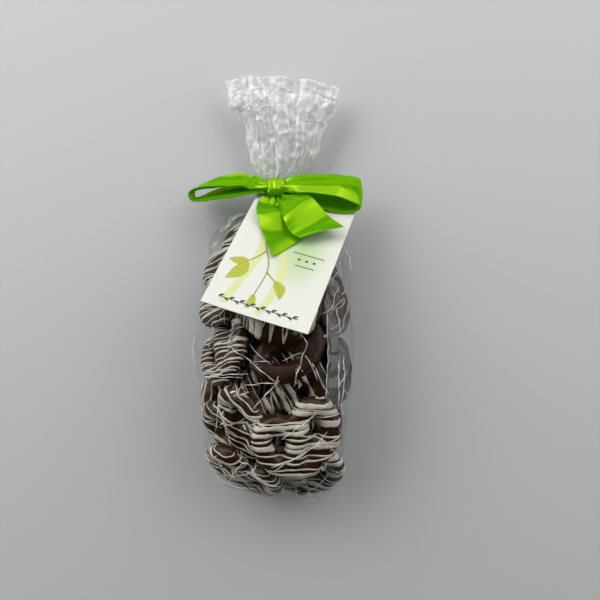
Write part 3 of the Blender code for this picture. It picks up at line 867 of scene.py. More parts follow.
def drizzle_runs(tree, heading, offset, waviness, draw):
    """Where one drizzled line lands on a pretzel: runs of (place, up), broken at the holes."""
    along = Vector((math.cos(heading), math.sin(heading), 0))
    across = Vector((-along.y, along.x, 0))
    phase, bend = draw.uniform(*PHASES), draw.uniform(-DRIZZLE_BEND, DRIZZLE_BEND)
    tilt = draw.uniform(-DRIZZLE_TILT, DRIZZLE_TILT)
    runs, run = [], []
    steps = int(2 * DRIZZLE_REACH / DRIZZLE_STEP)
    for i in range(steps + 1):
        t = -DRIZZLE_REACH + i * DRIZZLE_STEP
        wave = waviness * math.sin(t * 0.21 + phase) + 0.35 * waviness * math.sin(t * 0.63 + phase * 2)
        plan = along * t + across * (offset + wave + tilt * t + bend * t * t)
        hit, normal, _, _ = tree.ray_cast(Vector((plan.x, plan.y, 30)), DOWN)
        fits = hit is not None and normal.z > LANDING_SLOPE and hit.z > LANDING_Z
        if fits and run and (hit - run[-1][0]).length > LANDING_JUMP:
            fits = False
        if fits:
            run.append((hit, normal))
        elif run:
            runs.append(run)
            run = []
    if run:
        runs.append(run)
    for run in runs:
        run[:0] = lip(tree, run[0][0], -along, draw.uniform(*LIP_DEPTHS))[::-1]
        run += lip(tree, run[-1][0], along, draw.uniform(*LIP_DEPTHS))
    return [run for run in runs if len(run) >= SHORTEST_RUN]


def local_heading(place, heading):
    """The direction on the pretzel itself that shows as the heading in the view from above."""
    turn = Matrix(place[0].tolist()).transposed()
    flat = turn @ Vector((math.cos(math.radians(heading)), math.sin(math.radians(heading)), 0))
    rise = turn @ Vector((0, 0, 1))
    if abs(rise.z) > EDGE_ON:
        flat = flat - rise * (flat.z / rise.z)
    return math.atan2(flat.y, flat.x)


def drizzle_line(tree, heading, offset, width, waviness, draw):
    """One drizzled line, as (verts, faces) for each run of it."""
    made = []
    for run in drizzle_runs(tree, heading, offset, waviness, draw):
        count = len(run)
        pulse, beat = draw.uniform(*PHASES), draw.uniform(0.3, 0.7)
        widths, heights = [], []
        for i in range(count):
            ends = min(1.0, 0.4 + 0.3 * min(i, count - 1 - i))
            swell = 1 + 0.14 * math.sin(i * beat + pulse) + 0.08 * math.sin(i * beat * 2.7)
            widths.append(width * ends * swell)
            heights.append(DRIZZLE_HEIGHT * ends * min(1.0, 0.55 + width / 4))
        places, ups = zip(*run)
        made.append(swept(places, ups, widths, heights, DRIZZLE_SECTION))
    return made


def drizzle_for(tree, place, number, style, draw):
    """All drizzled lines of one pretzel, as verts and faces in the layout."""
    heading, spacing, wide, thin, waviness = style
    made = []
    on_pretzel = local_heading(place, heading)
    offset = -DRIZZLE_EDGE + draw.uniform(0, spacing)
    while offset < DRIZZLE_EDGE:
        is_wide = draw.random() < WIDE_CHANCE
        width = wide * draw.uniform(*WIDE_RANGE) if is_wide else thin * draw.uniform(*THIN_RANGE)
        made += drizzle_line(tree, on_pretzel, offset, width, waviness, draw)
        if width > TWIN_WIDTH and draw.random() < TWIN_CHANCE:
            beside = offset + width / 2 + draw.uniform(*TWIN_GAP)
            made += drizzle_line(tree, on_pretzel, beside, thin * TWIN_THINNING, waviness, draw)
        offset += width * 0.5 + spacing * draw.uniform(*SPACING_RANGE)
    for which, slant, aside, width in CROSSING_LINES:
        if which == number:
            made += drizzle_line(tree, local_heading(place, slant), aside, width, CROSSING_WAVINESS, draw)
    verts, faces = stacked(made)
    matrix = place_matrix(place)
    return [matrix @ v for v in verts], faces


def bag_contents():
    """The pretzels and their drizzle, as two pieces."""
    places = settled_pretzels()
    for which, shift, angle in TURNED_PRETZELS:
        turn, middle = places[which]
        lean = np.array(Matrix.Rotation(math.radians(angle), 3, "X"))
        places[which] = lean @ turn, middle + np.array(shift)
    places += [(np.array(facing_matrix(*row[3:])), np.array(row[:3])) for row in LOW_PRETZELS]
    variants = [pretzel_variant(i) for i in range(VARIANTS)]
    trees = [search_tree(variant) for variant in variants]
    copies, lines = [], []
    for i, place in enumerate(places):
        copies.append(copy_of(variants[i % VARIANTS], place_matrix(place), "pretzel"))
        if i >= len(places) - len(LOW_PRETZELS):
            continue
        draw = random.Random(DRIZZLE_SEED + i)
        style = DRIZZLES[i] if i < len(DRIZZLES) else (draw.uniform(-90, 90), *HIDDEN_DRIZZLE)
        lines.append(drizzle_for(trees[i % VARIANTS], place, i, style, draw))
    for variant in variants:
        bpy.data.objects.remove(variant)
    pretzels = join(copies, "pretzels")
    drizzle = mesh_piece("drizzle", *stacked(lines))
    drizzle.data.shade_smooth()
    return pretzels, drizzle


# The film


def ring_values(rings, y):
    ys = [ring[0] for ring in rings]
    return [float(np.interp(y, ys, [ring[k] for ring in rings])) for k in range(1, 5)]


def film_form(y):
    """The film's smooth form at y: its middle x, half width, lowest z, highest z and squareness."""
    if y <= BAG_RINGS[-1][0]:
        return (*ring_values(BAG_RINGS, y), BODY_SQUARENESS - ROUNDING * share_between(y, *ROUNDING_SPAN))
    if y >= FAN_RINGS[0][0]:
        return (*ring_values(FAN_RINGS, y), 2.0)
    low, high = NECK_Z - NECK_RADIUS + NECK_SLACK, NECK_Z + NECK_RADIUS - NECK_SLACK
    neck = [(NECK_Y + end, 0.0, NECK_RADIUS - NECK_SLACK, low, high) for end in NECK_SPAN]
    return (*ring_values((BAG_RINGS[-1], *neck, FAN_RINGS[0]), y), 2.0)


def tri_wave(t):
    """A wave with straight slopes between -1 and 1, one for each whole t."""
    return 2 * abs(2 * (t - math.floor(t + 0.5))) - 1


def pleats(y, angle):
    """How far the film stands off its smooth form where it is gathered, as a share of the form."""
    gather = share_between(y, *BODY_PLEAT_SPAN)
    fan = share_between(y, NECK_Y, NECK_Y + TOP_PLEAT_REACH)
    if gather == 0.0:
        return 0.0
    wander = 0.25 * noise.noise(Vector((y * 0.03, angle * 1.5, 3.1)))
    turn = angle / (2 * math.pi) + wander * 0.12
    body = sum(depth * tri_wave(turn * count + phase) for count, phase, depth in BODY_PLEATS)
    top = sum(depth * tri_wave(turn * count + phase) for count, phase, depth in TOP_PLEATS) - TOP_DRAWN_IN
    return body * gather * (1 - fan) + top * fan


def film_ring(y, angles):
    """One ring of the film round the bag, with its pleats, and its middle."""
    middle, half, low, high, squareness = film_form(y)
    c, s = np.cos(angles), np.sin(angles)
    size = (np.abs(c) ** squareness + np.abs(s) ** squareness) ** (-1 / squareness)
    size = size * (1 + np.array([pleats(y, angle) for angle in angles]))
    centre = (low + high) / 2
    left = np.interp(y, *zip(*LEFT_BULGES)) * np.clip(-c, 0, 1) ** 2
    right = np.interp(y, *zip(*RIGHT_BULGES)) * np.clip(c, 0, 1) ** 2
    across = middle + half * size * c - left + right
    ring = np.column_stack([across, np.full(len(c), y), centre + (high - low) / 2 * size * s])
    return ring, np.array([middle, y, centre])


def deepest_sink(y, angle):
    """How deep the film may sink at a place round the bag."""
    sideways = math.cos(angle)
    sink = FILM_SINK * share_between(y, *SINK_SPAN)
    start, end = HOLLOW_SPAN
    if start < y < end and sideways > HOLLOW_FACING:
        along = min(y - start, end - y) / HOLLOW_EASE
        ease = min(1.0, along, (sideways - HOLLOW_FACING) / HOLLOW_FACING_EASE)
        sink = sink + (min(sink, HOLLOW_SINK) - sink) * ease
    start, end = SIDE_SPAN
    if (start < y < end and abs(sideways) > SIDE_FACING) or (y >= end and abs(sideways) > SHOULDER_FACING):
        sink = min(sink, SIDE_SINK)
    return sink


def neighbours(grid, axis, step):
    """The grid shifted by one place. Rows stop at the ends and columns run on round the bag."""
    moved = np.roll(grid, step, axis)
    if axis == 0:
        edge = 0 if step == 1 else -1
        moved[edge] = grid[edge]
    return moved


def drape(rings, inward, deepest, tree):
    """Lets the film sink onto the pretzels, no more steeply than taut film does between them."""
    form = np.array(rings)
    no_touch = FILM_SINK + 5
    touch = np.full(form.shape[:2], no_touch)
    for row in range(form.shape[0]):
        for k in range(form.shape[1]):
            way = Vector(inward[row][k])
            outside = Vector(form[row, k]) - way * FILM_REACH
            hit, _, _, distance = tree.ray_cast(outside, way, FILM_REACH + FILM_SINK)
            if hit is not None:
                touch[row, k] = distance - FILM_REACH
    touch -= FILM_CLEARANCE
    sunk = np.minimum(touch, deepest)
    ways = [(axis, step) for axis in (0, 1) for step in (1, -1)]
    reaches = [np.linalg.norm(form - neighbours(form, *way), axis=2) * FILM_SLOPE for way in ways]
    for _ in range(SINK_ROUNDS):
        for way, reach in zip(ways, reaches):
            sunk = np.minimum(sunk, neighbours(sunk, *way) + reach)
    for _ in range(SINK_SMOOTHINGS):
        sunk = (2 * sunk + sum(neighbours(sunk, *way) for way in ways)) / (2 + len(ways))
    sunk = np.minimum(sunk, touch)
    return form + np.array(inward) * sunk[:, :, None]


def unit_rows(rows):
    """The rows, each brought to a length of 1."""
    return rows / np.linalg.norm(rows, axis=1)[:, None]


def closed_end(end, centre):
    """The rings that close the bag's end, from its core out to the first ring, and their ways inwards."""
    core = np.column_stack([end[:, 0] * CAP_CORE, end[:, 1], np.full(len(end), centre[2])])
    rings, inward = [], []
    for share in (np.arange(CAP_RINGS) + 0.5) / CAP_RINGS:
        rings.append(core + (end - core) * share - np.array([0, CAP_DEPTH * (1 - share**4), 0]))
        inward.append(unit_rows(unit_rows(centre - end) * share**3 + np.array([0.0, 1.0, 0.0])))
    return rings, inward


def film_faces(count):
    """The faces between count rings, and one that closes the first ring."""
    faces = []
    for row in range(count - 1):
        low, high = row * FILM_SEGMENTS, (row + 1) * FILM_SEGMENTS
        for k in range(FILM_SEGMENTS):
            after = (k + 1) % FILM_SEGMENTS
            faces.append((low + k, high + k, high + after, low + after))
    faces.append(tuple(range(FILM_SEGMENTS)))
    return faces


def film_sheet(pretzels):
    """The film as one sheet: the closed end, the filled body, the tied neck and the open fanned top."""
    stops = (FILM_END_Y, BAG_RINGS[-1][0], FAN_RINGS[0][0], FAN_RINGS[-1][0])
    ys = [y for start, end, step in zip(stops, stops[1:], RING_STEPS) for y in np.arange(start, end, step)]
    ys.append(stops[-1])
    angles = np.arange(FILM_SEGMENTS) * 2 * math.pi / FILM_SEGMENTS
    rings, inward = closed_end(*film_ring(ys[0], angles))
    deepest = [np.full(FILM_SEGMENTS, FILM_SINK) for _ in rings]
    for y in ys:
        ring, middle = film_ring(y, angles)
        rings.append(ring)
        way = unit_rows(middle - ring)
        way[:, 1] = share_between(y, FILM_END_Y + CAP_EASE, FILM_END_Y)
        inward.append(unit_rows(way))
        deepest.append(np.array([deepest_sink(y, angle) for angle in angles]))
    rings = drape(rings, inward, np.array(deepest), search_tree(pretzels))
    film = mesh_piece("film", np.vstack(rings), film_faces(len(rings)))
    bunched = film.data.attributes.new("bunched", "FLOAT", "POINT")
    bunched.data.foreach_set("value", share_between(mesh_points(film)[0][:, 1], *BUNCHING_SPAN))
    return film


def film_flap(film):
    """A fold of the film that lies over it along the right, a little milky."""
    tree = search_tree(film)
    columns, rows = FLAP_GRID
    verts, faces, haze = [], [], []
    for y in np.linspace(*FLAP_SPAN, rows):
        clearing = np.interp(y, FLAP_CLEARS, (1.0, FLAP_CLEARED))
        for x in np.linspace(*FLAP_EDGES, columns):
            sway = FLAP_SWAY * noise.noise(Vector((x * 0.05, y * 0.09, 4.0)))
            hit, normal, _, _ = tree.ray_cast(Vector((x + sway, y, HIGH_ABOVE)), DOWN)
            if hit is None:
                hit, normal, _, _ = tree.find_nearest(Vector((x + sway, y, 20)))
            verts.append(hit + normal * FLAP_LIFT)
            haze.append(float(clearing * np.interp(x, FLAP_EDGES, FLAP_HAZE)))
    for row in range(rows - 1):
        for k in range(columns - 1):
            a = row * columns + k
            faces.append((a, a + 1, a + columns + 1, a + columns))
    flap = mesh_piece("film_flap", verts, faces)
    flap.data.attributes.new("bunched", "FLOAT", "POINT").data.foreach_set("value", haze)
    return flap


def slant_mouth(points):
    """Pulls the left of the open mouth further along Y than the right."""
    middle, half = FAN_RINGS[-1][1:3]
    near_mouth = share_between(points[:, 1], FAN_RINGS[-3][0], FAN_RINGS[-1][0])
    points[:, 1] -= MOUTH_SLANT * near_mouth * (points[:, 0] - middle) / half
    return points


def pull_end_corner(points):
    """Pulls the closed end out into its empty corner."""
    middle, half, reach = END_CORNER
    near_end = share_between(points[:, 1], *END_CORNER_SPAN)
    near_middle = np.clip(1.3 - np.abs(points[:, 0] - middle) / half * 1.3, 0, 1)
    points[:, 1] -= reach * near_end**2 * near_middle
    return points


def crumple(film):
    """Gives the film its flat facets and sharp folds."""
    points, normals = mesh_points(film)
    points = pull_end_corner(slant_mouth(points))
    facets = []
    for x, y, z in points:
        spot = Vector((x, y * FACET_STRETCH, z))
        nearest = [noise.voronoi(spot * fineness + Vector(offset))[0] for fineness, offset, _, _ in FACETS]
        facets.append([second - first for first, second, *_ in nearest])
    facets = np.array(facets).T
    on_body = sum(facet * row[2] for facet, row in zip(facets, FACETS)) - BODY_FACET_RISE
    on_top = sum(facet * row[3] for facet, row in zip(facets, FACETS)) - TOP_FACET_RISE
    body = 1 - share_between(points[:, 1], *BODY_FACET_SPAN)
    top = share_between(points[:, 1], *TOP_FACET_SPAN)
    depth = body * on_body * BODY_FACET_SHARE + top * on_top
    set_points(film, points - normals * depth[:, None])


def face_outwards(piece):
    """Turns the faces of a piece of closed bodies outwards."""
    activate(piece)
    bpy.ops.object.mode_set(mode="EDIT")
    bpy.ops.mesh.select_all(action="SELECT")
    bpy.ops.mesh.normals_make_consistent(inside=False)
    bpy.ops.object.mode_set(mode="OBJECT")


def keep_off_table(piece, gap):
    """Lifts what lies lower than the gap above the table."""
    points, _ = mesh_points(piece)
    points[:, 2] = np.maximum(points[:, 2], TABLE_Z + gap)
    set_points(piece, points)


def push_outside(film, pretzels):
    """Pushes the film out where it lies inside a pretzel."""
    finish_with(
        film,
        "SHRINKWRAP",
        target=pretzels,
        wrap_method="NEAREST_SURFACEPOINT",
        wrap_mode="OUTSIDE",
        offset=FILM_CLEARANCE,
    )


def fit_film(film, pretzels):
    """Crumples the film and keeps it off the pretzels and the table."""
    crumple(film)
    push_outside(film, pretzels)
    keep_off_table(film, FILM_GAP)


FOLD_SECTION = ((-0.5, -0.3), (0.0, 1.0), (0.5, -0.3))


def fold_strip(spots, width):
    """A sharp fold along (place, up) spots, thin at both ends, white partly as a painted highlight."""
    count = len(spots)
    widths, heights = [], []
    for i in range(count):
        taper = min(1.0, 0.25 + 0.25 * min(i, count - 1 - i))
        widths.append(width * taper * (0.85 + 0.3 * math.sin(i * 0.9 + width * 40)))
        heights.append(FOLD_RISE * taper)
    places, ups = zip(*spots)
    return swept(places, ups, widths, heights, FOLD_SECTION)


def fold_from_above(tree, corners):
    """The spots of a fold that the listed corners give in plan."""
    corners = [Vector((*corner, 0)) for corner in corners]
    wander = Vector((corners[0].x * 0.37, corners[0].y * 0.23, 8.0))
    spots = []
    for a, b in zip(corners, corners[1:]):
        steps = max(4, int((b - a).length / FOLD_STEP))
        for i in range(steps):
            plan = a.lerp(b, i / steps)
            plan.x += FOLD_WANDER * noise.noise(plan * 0.22 + wander)
            plan.y += FOLD_WANDER * noise.noise(plan * 0.22 - wander)
            hit, normal, _, _ = tree.ray_cast(plan + Vector((0, 0, HIGH_ABOVE)), DOWN)
            if hit is not None:
                spots.append((hit, normal))
    return spots


def neck_fold(tree, angle, start, end, draw):
    """The spots of a fold that runs out of the tied neck along the film."""
    turn = draw.uniform(-0.02, 0.02)
    spots = []
    for y in np.linspace(start, end, int(abs(end - start) / FOLD_STEP) + 2):
        middle, half, low, high, _ = film_form(y)
        across, up = math.cos(angle) * half, math.sin(angle) * (high - low) / 2
        hit, normal, _, _ = tree.find_nearest(Vector((middle + across, y, (low + high) / 2 + up)))
        spots.append((hit, normal))
        angle += turn
    return spots


def loose_fold(tree, place, up, longest, draw):
    """The spots of a short fold that wanders over the film from a place."""
    heading = up.cross(Vector((draw.uniform(-1, 1), draw.uniform(-1, 1), draw.uniform(-1, 1)))).normalized()
    turn = draw.uniform(-0.05, 0.05)
    spots = [(place, up)]
    for _ in range(draw.randrange(LOOSE_FOLD_FEWEST, longest)):
        heading = (heading + up.cross(heading) * turn).normalized()
        hit, normal, _, _ = tree.find_nearest(place + heading * FOLD_STEP)
        if normal.dot(up) < 0:
            break
        heading = ((hit - place) - normal * (hit - place).dot(normal)).normalized()
        place, up = hit, normal
        spots.append((place, up))
    return spots


def neck_folds(tree, draw):
    """Folds that run out of the tied neck both ways, as (width, spots)."""
    runs = []
    for _ in range(NECK_FOLDS):
        for way, widest, longest in NECK_FOLD_SIDES:
            angle, start = draw.uniform(0, 2 * math.pi), NECK_Y + way * NECK_FOLD_START
            width = draw.uniform(NECK_FOLD_THINNEST, widest)
            end = start + way * draw.uniform(NECK_FOLD_SHORTEST, longest)
            runs.append((width, neck_fold(tree, angle, start, end, draw)))
    return runs


def crushed_glint_folds(tree, draw):
    """The short, nearly parallel folds of each crushed spot, painted white as glints, as (width, spots)."""
    runs = []
    for x, y, size in CRUSHED_GLINT_SPOTS:
        heading = draw.uniform(0, math.pi)
        for _ in range(CRUSH_LINES):
            angle = heading + draw.uniform(-CRUSH_TURN, CRUSH_TURN)
            reach = Vector((math.cos(angle), math.sin(angle))) * size * draw.uniform(*CRUSH_LENGTHS)
            aside = [draw.uniform(-CRUSH_SPREAD, CRUSH_SPREAD) * size for _ in range(2)]
            start = Vector((x + aside[0], y + aside[1]))
            corners = (start[:], (start + reach)[:])
            runs.append((draw.uniform(*CRUSH_WIDTHS), fold_from_above(tree, corners)))
    return runs


def painted_glint_folds(tree):
    """The painted glints: small white strips on the film, as (width, spots)."""
    runs = []
    for x, y, heading, length, width in PAINTED_GLINTS:
        reach = Vector((math.cos(math.radians(heading)), math.sin(math.radians(heading)))) * length / 2
        corners = ((x - reach.x, y - reach.y), (x + reach.x, y + reach.y))
        runs.append((width, fold_from_above(tree, corners)))
    return runs


def loose_folds(film, tree, draw):
    """Short folds scattered over the body and the open top, on the top as painted shine, as (width, spots).
    """
    points, normals = mesh_points(film)
    body = [i for i, (_, y, z) in enumerate(points) if y < BUNCHING_SPAN[0] and z > TABLE_Z + 2]
    top = [i for i, (_, y, _) in enumerate(points) if y > TOP_LOOSE_START]
    runs = []
    for spots, (count, longest, widest) in ((body, BODY_LOOSE_FOLDS), (top, TOP_LOOSE_FOLDS)):
        for _ in range(count):
            i = draw.choice(spots)
            width = draw.uniform(LOOSE_FOLD_THINNEST, widest)
            runs.append((width, loose_fold(tree, Vector(points[i]), Vector(normals[i]), longest, draw)))
    return runs


def film_folds(film):
    """The folds, white partly as painted highlights, as one mesh."""
    tree = search_tree(film)
    draw = random.Random(FOLD_SEED)
    runs = [(width, fold_from_above(tree, corners)) for width, corners in FOLDS]
    runs += neck_folds(tree, draw)
    runs += crushed_glint_folds(tree, draw)
    runs += painted_glint_folds(tree)
    runs += loose_folds(film, tree, draw)
    strips = [fold_strip(run, width) for width, run in runs if len(run) >= SHORTEST_FOLD]
    folds = mesh_piece("film_folds", *stacked(strips))
    keep_off_table(folds, 0.0)
    face_outwards(folds)
    return folds


# The bow


def crease_rise(creases, u, share):
    """How far lengthwise creases lift the ribbon. They fade out at their ends, but not into the knot."""
    rise = 0.0
    for middle, depth, half_width, start, end in creases:
        if start <= share <= end:
            if start == 0:
                fade = math.sin(math.pi * (0.5 + share / end / 2))
            else:
                fade = math.sin(math.pi * (share - start) / (end - start))
            rise += depth * fade * max(0.0, 1 - abs(u - middle) / half_width)
    return rise


def ribbon_faces(count):
    """The faces of a closed band: both sides of count rows, and the walls along its edges and ends."""
    row = RIBBON_COLUMNS + 1
    back = count * row
    faces = []
    for i in range(count - 1):
        for k in range(RIBBON_COLUMNS):
            a, b = i * row + k, i * row + k + 1
            faces.append((a, a + row, b + row, b))
            faces.append((back + a, back + b, back + b + row, back + a + row))
        for k in (0, RIBBON_COLUMNS):
            a = i * row + k
            wall = (a, back + a, back + a + row, a + row)
            faces.append(wall if k == 0 else wall[::-1])
    for i in (0, count - 1):
        for k in range(RIBBON_COLUMNS):
            a, b = i * row + k, i * row + k + 1
            wall = (a, b, back + b, back + a)
            faces.append(wall if i == 0 else wall[::-1])
    return faces


def ribbon_band_mesh(rows, count, pleat_ends, crowning, creases, ripples):
    """A thin closed band through rows of edge pairs, a little crowned, and pleated by the knot."""
    edges = smooth_path([[*a, *b] for a, b in rows], count)
    first, second = edges[:, :3], edges[:, 3:]
    forward = np.gradient((first + second) / 2, axis=0)
    length = np.linalg.norm(np.diff((first + second) / 2, axis=0), axis=1).sum()
    verts, uvs = [], []
    for side in (1, -1):
        for i in range(count):
            a, b = Vector(first[i]), Vector(second[i])
            up = (b - a).cross(Vector(forward[i])).normalized()
            from_root = [length * i / (count - 1)]
            if pleat_ends == 2:
                from_root.append(length - from_root[0])
            gather = sum(math.exp(-((d / PLEAT_REACH) ** 2)) for d in from_root)
            share = i / (count - 1)
            ripple = 0.0
            for at, lift, width in ripples:
                ripple += lift * math.exp(-(((share - at) * length / width) ** 2))
            for k in range(RIBBON_COLUMNS + 1):
                u = k / RIBBON_COLUMNS
                crown = float(np.interp(share, CROWN_PLACES, crowning)) * (1 - (2 * u - 1) ** 2)
                pleat = gather * PLEAT_HEIGHT * math.cos(2 * math.pi * PLEAT_COUNT * u)
                rise = crown + pleat + side * RIBBON_THICKNESS / 2 + crease_rise(creases, u, share) + ripple
                verts.append(a.lerp(b, u) + up * rise)
                uvs.append((u * RIBBON_WIDTH, length * i / (count - 1)))
    piece = mesh_piece("ribbon", verts, ribbon_faces(count))
    lay_uvs(piece, uvs)
    return piece


def tag_axes():
    """The tag's lower edge, side and upward facing directions, square to each other."""
    along = TAG_ALONG_EDGE.normalized()
    facing = along.cross(TAG_UP_SIDE).normalized()
    return along, facing.cross(along), facing


def knot_piece():
    """The knot: a soft block with folds that run over it from the neck to the tails."""
    deselect()
    bpy.ops.mesh.primitive_cube_add(size=1.0, location=(0, 0, 0))
    knot = bpy.context.active_object
    finish_with(knot, "SUBSURF", levels=5, render_levels=5, subdivision_type="SIMPLE")
    facing = tag_axes()[2]
    up = Vector((0, facing.y * KNOT_TILT, facing.z)).normalized()
    turn = Matrix((Vector((1, 0, 0)), up.cross(Vector((1, 0, 0))), up)).transposed().to_4x4()
    half = Vector(KNOT_SIZE) / 2
    for vertex in knot.data.vertices:
        spot = vertex.co * 2
        size = sum(abs(c) ** KNOT_SQUARENESS for c in spot) ** (1 / KNOT_SQUARENESS)
        longest = max(abs(c) for c in spot)
        spot = spot * (longest / size)
        waist = 1 - KNOT_WAIST * (1 - spot.y * spot.y)
        groove = 1 + KNOT_GROOVE * math.cos(spot.x * 8.5 + spot.y * 0.8) * min(1.0, abs(spot.z) * 1.4)
        vertex.co = Vector((spot.x * half.x * waist, spot.y * half.y, spot.z * half.z * groove))
    lay_uvs(knot, [vertex.co.xy for vertex in knot.data.vertices])
    knot.data.transform(Matrix.Translation(KNOT_MIDDLE) @ turn)
    return knot


def neck_band():
    """The ribbon's turn round the neck, gathered into folds."""
    around, across = 120, 10
    verts, faces, uvs = [], [], []
    half = COLLAR_WIDTH / 2
    for side in (0, 1):
        for k in range(around):
            angle = 2 * math.pi * k / around
            for j in range(across + 1):
                v = j / across
                fold = COLLAR_FOLD * math.cos(v * 2 * math.pi * PLEAT_COUNT + 0.6 * math.sin(angle * 3))
                thickness = COLLAR_THICKNESS + fold + COLLAR_BULGE * math.sin(math.pi * v)
                radius = NECK_RADIUS + COLLAR_GAP + side * thickness
                y = NECK_Y - COLLAR_BACK - half + COLLAR_WIDTH * v
                verts.append(Vector((radius * math.cos(angle), y, NECK_Z + radius * math.sin(angle))))
                uvs.append((v * RIBBON_WIDTH, angle * NECK_RADIUS))
    row, back = across + 1, around * (across + 1)
    for k in range(around):
        here, after = k * row, (k + 1) % around * row
        for j in range(across):
            faces.append((here + j, here + j + 1, after + j + 1, after + j))
            faces.append((back + here + j, back + after + j, back + after + j + 1, back + here + j + 1))
        for j in (0, across):
            wall = (here + j, after + j, back + after + j, back + here + j)
            faces.append(wall if j == 0 else wall[::-1])
    piece = mesh_piece("neck_band", verts, faces)
    lay_uvs(piece, uvs)
    return piece


def bow():
    """The whole ribbon: two loops, two tails, the knot and the turn round the neck."""
    parts = [
        ribbon_band_mesh(LEFT_LOOP, LOOP_ROWS, 2, LOOP_CROWN, LEFT_LOOP_CREASES, LEFT_LOOP_RIPPLES),
        ribbon_band_mesh(RIGHT_LOOP, LOOP_ROWS, 2, LOOP_CROWN, RIGHT_LOOP_CREASES, RIGHT_LOOP_RIPPLES),
        ribbon_band_mesh(LEFT_TAIL, TAIL_ROWS, 1, TAIL_CROWN, LEFT_TAIL_CREASES, LEFT_TAIL_RIPPLES),
        ribbon_band_mesh(RIGHT_TAIL, TAIL_ROWS, 1, TAIL_CROWN, RIGHT_TAIL_CREASES, RIGHT_TAIL_RIPPLES),
        knot_piece(),
        neck_band(),
    ]
    ribbon = join(parts, "ribbon")
    face_outwards(ribbon)
    smooth_by_angle(ribbon, RIBBON_CREASE_ANGLE)
    return ribbon


# The tag


def card_bend(u, v):
    """How far the card bends back at these shares of its width and length."""
    return TAG_BEND * ((2 * u - 1) ** 2 - 1) * (1 - v)


def card():
    """The card, bent very slightly across its width, most at its lower edge."""
    along, side, facing = tag_axes()
    columns, rows = 17, 26
    verts, uvs = [], []
    for depth in (0.0, -TAG_THICKNESS):
        for j in range(rows + 1):
            for i in range(columns + 1):
                u, v = i / columns, j / rows
                spot = TAG_CORNER + along * (u * TAG_WIDTH) + side * (v * TAG_LENGTH)
                verts.append(spot + facing * (depth + card_bend(u, v)))
                uvs.append((u * TAG_WIDTH, v * TAG_LENGTH))
    row = columns + 1
    back = (rows + 1) * row
    faces = []
    for j in range(rows):
        for i in range(columns):
            a = j * row + i
            faces.append((a, a + 1, a + row + 1, a + row))
            faces.append((back + a, back + a + row, back + a + row + 1, back + a + 1))
    rim = list(range(row)) + [j * row + columns for j in range(1, rows + 1)]
    rim += [rows * row + i for i in range(columns - 1, -1, -1)] + [j * row for j in range(rows - 1, 0, -1)]
    for a, b in zip(rim, rim[1:] + rim[:1]):
        faces.append((a, back + a, back + b, b))
    piece = mesh_piece("card", verts, faces)
    lay_uvs(piece, uvs)
    smooth_by_angle(piece, CARD_CREASE_ANGLE)
    return piece


def card_spot(u, v, lift):
    """The place of a printed spot on the bent card, from its distances along the lower edge and up."""
    along, side, facing = tag_axes()
    return TAG_CORNER + along * u + side * v + facing * (card_bend(u / TAG_WIDTH, v / TAG_LENGTH) + lift)


def leaf_outline(root, tip, width):
    """A pointed leaf as rows across it from root to tip, each a left and a right spot."""
    root, tip = Vector(root), Vector(tip)
    along = tip - root
    across = Vector((-along.y, along.x)).normalized()
    rows = []
    for i in range(LEAF_ROWS):
        t = i / (LEAF_ROWS - 1)
        half = width / 2 * math.sin(math.pi * t**0.8) ** 0.85
        middle = root + along * t + across * (0.12 * along.length * math.sin(math.pi * t))
        rows.append((middle - across * half, middle + across * half))
    return rows


def line_rows(spots, start_width, end_width):
    """A printed line through the spots, as rows across it."""
    spots = [Vector(spot) for spot in smooth_path(spots, LINE_SPOTS)]
    last = LINE_SPOTS - 1
    rows = []
    for i, spot in enumerate(spots):
        ahead = spots[min(i + 1, last)] - spots[max(i - 1, 0)]
        across = Vector((-ahead.y, ahead.x)).normalized()
        half = (start_width + (end_width - start_width) * i / last) / 2
        rows.append((spot - across * half, spot + across * half))
    return rows


def diamond_rows(spot, size):
    """A diamond as rows across it, of which the first and the last are its tips."""
    u, v = spot
    left, right = Vector((u - size, v)), Vector((u + size, v))
    return [(left, left), (Vector((u, v - size)), Vector((u, v + size))), (right, right)]


def border_leaves():
    """The border's leaves, which lean to either side of its stem in turn, as (root, tip, width)."""
    ahead, aside, width = BORDER_LEAF
    leaves = []
    for i in range(BORDER_LEAVES):
        u = BORDER_SPAN[0] + (BORDER_SPAN[1] - BORDER_SPAN[0]) * i / BORDER_LEAVES
        turn = 1 if i % 2 == 0 else -1
        leaves.append(((u, BORDER_V), (u + ahead, BORDER_V + turn * aside), width))
    return leaves


def tag_print():
    """The print on the card: two pale bands, leaves on thin stems, rules, diamonds and a leafy border."""
    shapes = [(line_rows(veil, *VEIL_WIDTHS), PALE_YELLOW) for veil in VEILS]
    shapes += [(leaf_outline(*leaf), LEAF_GREEN) for leaf in LEAVES]
    shapes += [(line_rows(vein, *VEIN_WIDTHS), OLIVE) for vein in VEINS]
    shapes += [(line_rows(stem, *STEM_WIDTHS), OLIVE) for stem in STEMS]
    shapes += [(line_rows(rule, *RULE_WIDTHS), INK_GREY) for rule in RULES]
    shapes += [(diamond_rows(spot, DIAMOND_SIZE), INK_GREY) for spot in DIAMONDS]
    shapes += [(leaf_outline(*leaf), INK_GREY) for leaf in border_leaves()]
    verts, faces, inks = [], [], []
    for number, (rows, ink) in enumerate(shapes):
        start = len(verts)
        lift = PRINT_LIFT + PRINT_STEP * number
        for left, right in rows:
            verts += [card_spot(*left, lift), card_spot(*right, lift)]
        for i in range(len(rows) - 1):
            a = start + 2 * i
            faces.append((a, a + 2, a + 3, a + 1))
        inks += [ink] * (len(verts) - start)
    piece = mesh_piece("tag_print", verts, faces)
    colours = piece.data.color_attributes.new("ink", "FLOAT_COLOR", "POINT")
    for i, ink in enumerate(inks):
        colours.data[i].color = (*ink, 1.0)
    return piece


# The materials


def new_material(name):
    made = bpy.data.materials.new(name)
    made.use_nodes = True
    tree = made.node_tree
    return made, tree, tree.nodes["Principled BSDF"]


